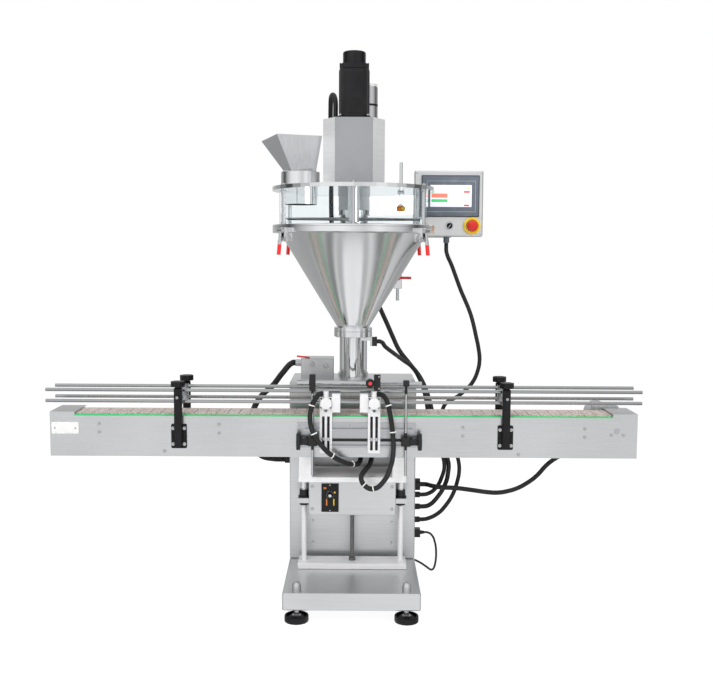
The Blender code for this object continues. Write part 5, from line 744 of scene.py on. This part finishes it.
cover_trim = Piece("cover_fittings", "head", "motor_cover_finish", bolt_steel, black_satin)
for height in (1.465, 1.638):
    for side in (-1, 1):
        cover_trim.turned(AUGER + Vector((side * 0.0510, -0.1000, height)),
                          ((0, 0.0018), (0.0022, 0.0015), (0.0034, 0.0004), (0.0034, 0)), "Y", 0, 20)
MIXER = Vector((0.080, 0.0305, 0.0))
cover_trim.turned(MIXER, ((0, 1.8000), (0.0230, 1.8000), (0.0290, 1.7950), (0.0312, 1.7860), (0.0312, 1.7320),
                          (0.0301, 1.7310), (0.0301, 1.7260), (0.0312, 1.7250), (0.0312, 1.6640),
                          (0.0301, 1.6636)),
                  "Z", 0, 64)
cover_trim.turned(MIXER, ((0.0302, 1.7325), (0.0318, 1.7320), (0.0318, 1.7255), (0.0302, 1.7250)), "Z", 1, 64)
cover_trim.turned((-0.0350, 0.0425, 0),
                  ((0.0090, 1.6852), (0.0125, 1.6840), (0.0125, 1.6700), (0.0145, 1.6690),
                                         (0.0145, 1.6632)), "Z", 1, 24)
cover_trim.done()

# Feed chute
# A square sheet funnel, turned and set off towards the rear left, on a turned collar.
CHUTE = Vector((-0.153, -0.0325, 0.0))
CHUTE_TURN = math.radians(19)
THROAT = 0.086
MOUTH = (0.156, 0.222)
MOUTH_SHIFT = (-0.034, 0.032)
chute = Piece("powder_chute", "head", "feed_chute_finish", mirror_steel, chute_steel)
chute.turned(CHUTE, ((0.0650, 1.4945), (0.0660, 1.4935), (0.0660, 1.4414), (0.0650, 1.4403), (0.0580, 1.4403),
                     (0.0580, 1.3850), (0.0565, 1.3850), (0.0565, 1.4945)), steps=96, closed=True)
funnel = bmesh.new()
bmesh.ops.create_cube(funnel, size=1.0)
bmesh.ops.scale(funnel, vec=(THROAT, THROAT, 1.6110 - 1.4945), verts=funnel.verts)
mouth = [corner for corner in funnel.verts if corner.co.z > 0]
bmesh.ops.scale(funnel, vec=(MOUTH[0] / THROAT, MOUTH[1] / THROAT, 1.0), verts=mouth)
bmesh.ops.delete(funnel, geom=[face for face in funnel.faces if abs(face.normal.z) > 0.9], context="FACES")
bmesh.ops.solidify(funnel, geom=funnel.faces[:], thickness=0.0015)
bmesh.ops.rotate(funnel, cent=(0, 0, 0), matrix=Matrix.Rotation(CHUTE_TURN, 3, "Z"), verts=funnel.verts)
bmesh.ops.translate(funnel, vec=CHUTE + Vector((0, 0, (1.6110 + 1.4945) / 2)), verts=funnel.verts)
upper = [corner for corner in funnel.verts if corner.co.z > 1.56]
bmesh.ops.translate(funnel, vec=(*MOUTH_SHIFT, 0), verts=upper)
for face in funnel.faces:
    face.smooth = False
chute.join(funnel, 1)
chute.block(CHUTE + Vector((-0.0560, -0.0560, 1.4930)), CHUTE + Vector((0.0560, 0.0560, 1.4955)), 0.0006, 1)
chute.done("feed_chute")

# Smooth skins of the column and the filling tube
# Ground bar and tube are round, so the many-sided solids get a turned skin 0.2 mm out.
COLUMN = Vector((0.030, 0.2755, 0.0))
column_skin = Piece("column_skin", "machine", "head_column_finish", rod_steel)
column_skin.turned(COLUMN, ((0, 1.6502), (0.0500, 1.6502), (0.0522, 1.6480), (0.0522, 0.7577),
                            (0, 0.7577)), steps=96)
column_skin.done()
tube_skin = Piece("tube_skin", "head", "auger_tube_finish", mirror_steel, bolt_steel)
tube_skin.turned(AUGER, ((0.0640, 0.9551), (0.0652, 0.9540), (0.0652, 0.9372), (0.0640, 0.9358),
                         (0.0300, 0.9358), (0.0252, 0.9320), (0.0247, 0.9280), (0.0247, 0.7970),
                         (0.0240, 0.7952), (0.0225, 0.7952), (0.0225, 0.9551)), steps=96, closed=True)
for angle in (20, 80, 140, 200, 260, 320):
    tube_skin.turned(on_circle(AUGER, 0.0560, math.radians(angle), 0.9357),
                     ((0.0040, 0.0), (0.0040, -0.0030), (0, -0.0030)), "Z", 1, 6)
tube_skin.done()


def face_at(node, x, z, side=-1):
    """Where a CAD solid's front (or back) is met at this place across and up."""
    solid = nodes[node]
    inward = solid.matrix_world.inverted()
    _, place, _, _ = solid.ray_cast(inward @ Vector((x, side * 2.0, z)),
                                    inward.to_3x3() @ Vector((0, -side, 0)))
    return solid.matrix_world @ place


# Operator panel
# A folded grey case with a dark bezel round a colour screen, a selector in a chromed
# collar and a mushroom stop button in a scalloped guard.
def lit(name, colour, glow):
    """A patch of a lit screen or lamp, with a trace of glare on its glass."""
    finish = Finish(name, colour, 0.24, Emission_Color=(*colour, 1.0), Emission_Strength=glow)
    finish.set("Roughness", 0.18 + 0.12 * finish.where.noise(60.0))
    return finish.material


bezel_black = moulded("bezel_black", (0.020, 0.021, 0.024), 0.34, 600.0, 0.08)
bezel_slate = moulded("bezel_slate", (0.115, 0.135, 0.165), 0.30, 600.0, 0.05)
inset_line = moulded("inset_line", (0.42, 0.45, 0.49), 0.35, 600.0, 0.05)
screen_white = lit("screen_white", (0.72, 0.74, 0.78), 0.45)
screen_salmon = lit("screen_salmon", (0.80, 0.20, 0.14), 0.35)
screen_green = lit("screen_green", (0.07, 0.50, 0.16), 0.35)
screen_red = lit("screen_red", (0.75, 0.03, 0.03), 0.35)
screen_amber = lit("screen_amber", (0.90, 0.55, 0.05), 0.40)
PANEL_FRONT = 0.1975
BEZEL_FRONT = 0.1915
bezel = Piece("screen_bezel", "panel", "operator_panel_finish", bezel_black, bezel_slate,
              inset_line, screen_white, screen_salmon, screen_green, screen_red, screen_amber)


def outline(piece, low_x, high_x, low_z, high_z, width, front, back, material):
    """A flat frame of four bars."""
    for start, stop in (((low_x, low_z), (high_x, low_z + width)),
                        ((low_x, high_z - width), (high_x, high_z)),
                        ((low_x, low_z + width), (low_x + width, high_z - width)),
                        ((high_x - width, low_z + width), (high_x, high_z - width))):
        piece.block((start[0], front, start[1]), (stop[0], back, stop[1]), 0.0003, material)


bezel.block((0.2772, BEZEL_FRONT - 0.0004, 1.3544), (0.4896, PANEL_FRONT, 1.5058), 0.0012, 0)
bezel.block((0.2805, BEZEL_FRONT - 0.0008, 1.3577), (0.4863, BEZEL_FRONT + 0.001, 1.5025), 0.0003, 1)
outline(bezel, 0.2965, 0.4754, 1.3726, 1.4855, 0.0013, BEZEL_FRONT - 0.0012, BEZEL_FRONT, 2)
bezel.block((0.3094, BEZEL_FRONT - 0.0014, 1.3909), (0.4607, BEZEL_FRONT, 1.4703), 0.0003, 3)
for low_x, high_x, low_z, high_z, material in (
        (0.3134, 0.3722, 1.4245, 1.4396, 4), (0.3134, 0.3722, 1.4083, 1.4188, 5),
        (0.4317, 0.4537, 1.4425, 1.4485, 6),
        (0.4328, 0.4516, 1.3938, 1.3994, 6), (0.4449, 0.4509, 1.4562, 1.4612, 7)):
    bezel.block((low_x, BEZEL_FRONT - 0.0018, low_z), (high_x, BEZEL_FRONT - 0.001, high_z), 0.0002, material)
for x in (0.2610, 0.4950):
    for z in (1.2915, 1.5140):
        bezel.turned((x, PANEL_FRONT, z), ((0, 0.0014), (0.0020, 0.0013), (0.0032, 0.0006),
                                           (0.0034, 0), (0, 0)), "Y",
                     2, 24)
bezel.done()

STOP_PLACE = Vector((0.4637, PANEL_FRONT, 1.3221))
guard = Piece("stop_guard", "panel", "operator_panel_finish", yellow_plastic)
guard.turned(STOP_PLACE, ((0.0303, -0.0004), (0.0303, 0.0105), (0.0290, 0.0124), (0.0235, 0.0124),
                          (0.0212, 0.0100), (0.0212, -0.0004)), "Y", 0, 72, closed=True)
for index in range(12):
    angle = 2 * math.pi * index / 12
    guard.turned(STOP_PLACE + Vector((0.0278 * math.cos(angle), 0, 0.0278 * math.sin(angle))),
                 ((0, 0.0128), (0.0032, 0.0128), (0.0042, 0.0118), (0.0042, 0.0004), (0, 0.0004)), "Y", 0, 20)
guard.done()
mushroom = Piece("stop_mushroom", "estop_button_body", "estop_button_finish", red_plastic)
mushroom.turned(STOP_PLACE, ((0, 0.0313), (0.0080, 0.0310), (0.0140, 0.0293), (0.0185, 0.0258),
                             (0.0199, 0.0215), (0.0194, 0.0178), (0.0150, 0.0158), (0.0110, 0.0150),
                             (0.0110, 0.0004), (0, 0.0004)),
                "Y", 0, 64)
mushroom.done("estop_button")

SELECTOR_PLACE = Vector((0.3815, PANEL_FRONT, 1.3221))
collar = Piece("selector_collar", "panel", "operator_panel_finish", rod_steel)
collar.turned(SELECTOR_PLACE, ((0.0148, -0.0004), (0.0148, 0.0048), (0.0138, 0.0060), (0.0118, 0.0060),
                               (0.0118, -0.0004)), "Y", 0, 48, closed=True)
collar.done()
selector = Piece("selector_handle", "selector_knob_body", "selector_knob_finish", black_nylon, rod_steel)
selector.turned((0.3815, 0.2080, 1.3221), ((0, 0.0190), (0.0092, 0.0190), (0.0107, 0.0176), (0.0107, 0.0125),
                                           (0.0050, 0.0125), (0.0050, 0.0), (0, 0)), "Y", 0, 48)
slanted = Matrix.Translation(SELECTOR_PLACE) @ Matrix.Rotation(math.radians(40), 4, "Y")
selector.block((-0.0034, -0.0208, -0.0104), (0.0034, -0.0080, 0.0104), 0.0012, 0, slanted)
selector.block((-0.0008, -0.0210, -0.0098), (0.0008, -0.0200, 0.0050), 0.0002, 1, slanted)
selector.done("selector_knob")

# Conveyor speed controller
# A black plug-in controller with a rocker switch, a lamp, a knob on a dotted scale and
# two coloured terminal bars.
CONTROL_FRONT = -0.0415
DIAL_PLACE = Vector((-0.0483, CONTROL_FRONT, 0.373))
controller = Piece("speed_controller", "machine", "lift_housing_finish", black_satin,
                   orange_plastic, yellow_plastic, white_plastic, bolt_steel, screen_amber)
controller.block((-0.0786, CONTROL_FRONT - 0.0004, 0.3122), (-0.0180, CONTROL_FRONT + 0.003, 0.4128), 0.0010)
controller.block((-0.0730, CONTROL_FRONT - 0.0025, 0.3925), (-0.0592, CONTROL_FRONT, 0.4035), 0.0008)
controller.block((-0.0712, CONTROL_FRONT - 0.0040, 0.3942), (-0.0610, CONTROL_FRONT, 0.4018), 0.0010, 1)
for index in range(11):
    tick = Matrix.Translation(DIAL_PLACE) @ Matrix.Rotation(math.radians(-135 + 27 * index), 4, "Y")
    controller.block((-0.0004, -0.0008, 0.0112), (0.0004, 0, 0.0132), 0.0001, 3, tick)
controller.turned((-0.0320, CONTROL_FRONT, 0.382),
                  ((0, 0.0036), (0.0020, 0.0032), (0.0032, 0.0018), (0.0034, 0.0)), "Y", 5, 24)
controller.block((-0.0625, CONTROL_FRONT - 0.0010, 0.335), (-0.0580, CONTROL_FRONT, 0.359), 0.0003, 1)
controller.block((-0.0370, CONTROL_FRONT - 0.0010, 0.335), (-0.0330, CONTROL_FRONT, 0.359), 0.0003, 2)
controller.block((-0.0555, CONTROL_FRONT - 0.0030, 0.336), (-0.0395, CONTROL_FRONT, 0.358), 0.0012)
for height in (0.408, 0.317):
    controller.turned((-0.0485, CONTROL_FRONT, height),
                      ((0, 0.0012), (0.0020, 0.0012), (0.0028, 0.0005), (0.0030, 0)), "Y", 4, 24)
controller.done()
dial = Piece("dial_knob", "speed_dial_body", "speed_dial_finish", black_nylon, rod_steel, white_plastic)
dial.turned((-0.0483, -0.0340, 0.373), ((0, 0.0210), (0.0058, 0.0210), (0.0070, 0.0200), (0.0080, 0.0100),
                                        (0.0089, 0.0095), (0.0089, 0.0082), (0.0030, 0.0082),
                                        (0.0030, 0), (0, 0)),
            "Y", 0, 48)
for index in range(18):
    flute = Matrix.Translation(DIAL_PLACE) @ Matrix.Rotation(math.radians(20 * index), 4, "Y")
    dial.block((-0.0005, -0.0130, 0.0068), (0.0005, -0.0025, 0.0079), 0.0002, 0, flute)
dial.turned((-0.0483, -0.0550, 0.373), ((0, 0.0006), (0.0052, 0.0006), (0.0056, 0), (0, 0)), "Y", 1, 48)
dial.block((-0.0487, -0.0559, 0.3730), (-0.0479, -0.0550, 0.3780), 0.0001, 2)
dial.done("speed_dial")

# Screws
# Stainless socket-head screws hold the plates, brackets, housing, door and dust box.
def fixings(name, body, node, places, radius=0.0042, side=-1):
    """Socket-head screws on a solid's front or back."""
    piece = Piece(name, body, node + "_finish", bolt_steel)
    for x, z in places:
        spot = face_at(node, x, z, side)
        turn = None
        if side > 0:
            turn = Matrix.Translation(spot) @ Matrix.Rotation(math.pi, 4, "Z") @ Matrix.Translation(-spot)
        piece.turned(spot, ((0, 0.0004), (radius * 1.7, 0.0004), (radius * 1.75, -0.0002),
                            (0, -0.0002)), "Y", 0, 24, turn=turn)
        for profile, sides in ((((radius * 0.45, radius * 0.3), (radius * 0.45, radius * 0.9),
                                 (radius * 0.85, radius * 0.9), (radius, radius * 0.7), (radius, 0)), 24),
                               (((0, radius * 0.3), (radius * 0.46, radius * 0.3)), 6)):
            piece.turned(spot, profile, "Y", 0, sides, turn=turn)
    piece.done()


PLATE_SCREWS = ((-0.8305, 0.6392), (-0.8305, 0.6110), (-0.4234, 0.6392), (-0.4234, 0.6090), (-0.6096, 0.5462),
                (0.4045, 0.6324), (0.4045, 0.6030), (0.8190, 0.6300), (0.8190, 0.6010), (0.9094, 0.6083),
                (0.9502, 0.6083), (0.5948, 0.5400), (-0.0109, 0.5445))
fixings("front_plate_screws", "conveyor", "conveyor_front_plate", PLATE_SCREWS)
fixings("rear_plate_screws", "conveyor", "conveyor_rear_plate",
        [(x, z) for x, z in PLATE_SCREWS if x < 0.85], side=1)
fixings("housing_screws", "machine", "lift_housing",
        ((-0.111, 0.402), (-0.111, 0.322), (0.170, 0.402), (0.170, 0.322)))
fixings("door_screws", "machine", "cabinet",
        ((-0.113, 0.251), (0.173, 0.246), (-0.113, 0.170), (0.173, 0.170)), 0.0032)
fixings("bracket_left_screws", "conveyor", "rail_bracket_front_left", ((-0.5782, 0.572), (-0.5398, 0.572),
                                                                       (-0.5782, 0.626), (-0.5398, 0.626)),
        0.0034)
fixings("bracket_right_screws", "conveyor", "rail_bracket_front_right", ((0.5298, 0.572), (0.5682, 0.572),
                                                                         (0.5298, 0.626), (0.5682, 0.626)),
        0.0034)
fixings("dust_screws", "machine", "dust_collector", ((-0.1195, 0.8190), (-0.0670, 0.8126)), 0.0070)

# Dust box lever
# A red plastic lever on a small steel pivot block, on the lid of the dust box.
handle = Piece("dust_latch", "machine", "dust_collector_finish", red_plastic, rod_steel)
lean = Matrix.Translation((-0.1490, 0.1080, 0.8440)) @ Matrix.Rotation(math.radians(7), 4, "Y")
handle.block((-0.0260, -0.0050, -0.0030), (0.0220, 0.0050, 0.0030), 0.0022, 0, lean)
handle.block((-0.0100, -0.0035, -0.0070), (0.0060, 0.0035, -0.0020), 0.0010, 1, lean)
handle.done()

# Stop mount plate screws
# Three socket-head screws along the plate that carries the stop units.
fixings("mount_screws", "conveyor", "stop_mount_plate",
        ((-0.150, 0.637), (0.237, 0.637), (0.0213, 0.637)), 0.0040)

# White cover plate
# A plastic plate, held by two pan screws, hides the chain's tension screw at the left end.
cover = Piece("tension_cover", "conveyor", "conveyor_front_plate_finish", white_plastic, bolt_steel)
cover.block((-0.9912, -0.1362, 0.6048), (-0.8990, -0.1320, 0.6444), 0.0012)
for x in (-0.9800, -0.9100):
    cover.turned((x, -0.1362, 0.6246),
                 ((0, 0.0012), (0.0022, 0.0011), (0.0032, 0.0004), (0.0034, 0)), "Y", 1, 24)
cover.done()

# Container stops
# White anodised pneumatic cylinders with four small screws round each, on slotted plates
# that two socket screws hold at their slots.
for name, x in (("left", -0.0600), ("right", 0.1026)):
    stop = Piece("stop_face_" + name, "conveyor", f"stop_unit_{name}_finish", stop_aluminium,
                 dark_plate, bolt_steel, black_satin)
    face = Vector((x, -0.1685, 0.7172))
    stop.turned(face, ((0.0193, -0.0130), (0.0193, -0.0010), (0.0183, 0.0002), (0, 0.0002)), "Y", 0, 64)
    for side in (-1, 1):
        for level in (-1, 1):
            stop.turned((x + side * 0.0152, -0.1540, 0.7172 + level * 0.0152),
                        ((0, 0.0026), (0.0024, 0.0026), (0.0030, 0.0020), (0.0030, 0.0)), "Y", 3, 20)
    stop.nut((x, -0.1545, 0.6920), 0.0060, 0.0030, "Y", 1)
    for offset in (-0.0085, 0.0085):
        stop.block((x + offset - 0.0046, -0.1520, 0.5560), (x + offset + 0.0046, -0.1512, 0.6720), 0.0002, 3)
        stop.turned((x + offset, -0.1545, 0.5940),
                    ((0, 0.0030), (0.0060, 0.0030), (0.0066, 0.0024), (0.0066, 0.0)), "Y", 2, 6)
    stop.done()

# Sensors
# The eye on the left stand has a red lens in a black nose. Two screws hold its plate.
EYE = Vector((0.0880, -0.1880, 0.7884))
eye = Piece("sensor_eye", "conveyor", "sensor_stand_left_finish", black_satin, screen_red)
eye.turned(EYE, ((0.0142, -0.0060), (0.0142, -0.0006), (0.0132, 0.0004), (0.0108, 0.0004), (0.0100, -0.0008),
                 (0, -0.0008)), "Y", 0, 48)
eye.turned(EYE, ((0, 0.0010), (0.0050, 0.0004), (0.0070, -0.0010)), "Y", 1, 32)
eye.done()
plate_front = face_at("sensor_stand_left", 0.1180, 0.8080)
plate_screws = Piece("sensor_screws", "conveyor", "sensor_stand_left_finish", bolt_steel)
for height in (0.8085, 0.7685):
    plate_screws.screw((0.1180, plate_front[1], height), 0.0030, "Y")
plate_screws.done()

# Cable ties
# White nylon ties hold the hoses at their bends, each a band with its lock.
ties = Piece("cable_ties", "conveyor", "conveyor_front_plate_finish", white_plastic)
for node, x, z in (("gate_hose_left", -0.107, 0.702), ("gate_hose_left", -0.100, 0.624),
                   ("gate_hose_left", -0.048, 0.543), ("gate_hose_left", 0.035, 0.502),
                   ("gate_hose_right", 0.1588, 0.637), ("gate_hose_right", 0.131, 0.7195),
                   ("gate_hose_right", 0.1259, 0.4276), ("gate_hose_right", 0.0700, 0.4500)):
    points, radius, _ = routes[node]
    index = min(range(1, len(points) - 1), key=lambda i: (points[i].x - x) ** 2 + (points[i].z - z) ** 2)
    along = (points[index + 1] - points[index - 1]).to_track_quat("Z", "Y").to_matrix().to_4x4()
    turn = Matrix.Translation(points[index]) @ along
    ties.turned((0, 0, 0), ((radius + 0.0014, 0.0018), (radius + 0.0014, -0.0018), (radius - 0.0002, -0.0018),
                            (radius - 0.0002, 0.0018)), steps=32, closed=True, turn=turn)
    ties.block((-0.0025, radius + 0.0004, -0.0024), (0.0025, radius + 0.0036, 0.0024), 0.0005, 0, turn)
ties.done()

# Levelling feet
# Threaded steel studs with lock nuts stand in black rubber discs.
feet = Piece("foot_studs", "machine", "base_plinth_finish", bolt_steel, black_nylon)
for x in (-0.153, 0.213):
    for y in (-0.2475, 0.2925):
        feet.turned((x, y, 0), ((0, 0.0490), (0.0084, 0.0490), (0.0084, 0.0225), (0.0120, 0.0220),
                                (0.0150, 0.0202), (0, 0.0202)), steps=32)
        feet.nut((x, y, 0.0402), 0.0135, 0.0090)
        feet.turned((x, y, 0), ((0.0340, 0.0204), (0.0395, 0.0196), (0.0404, 0.0160), (0.0404, 0.0020),
                                (0.0395, 0.0004)), material=1, steps=48)
feet.done()
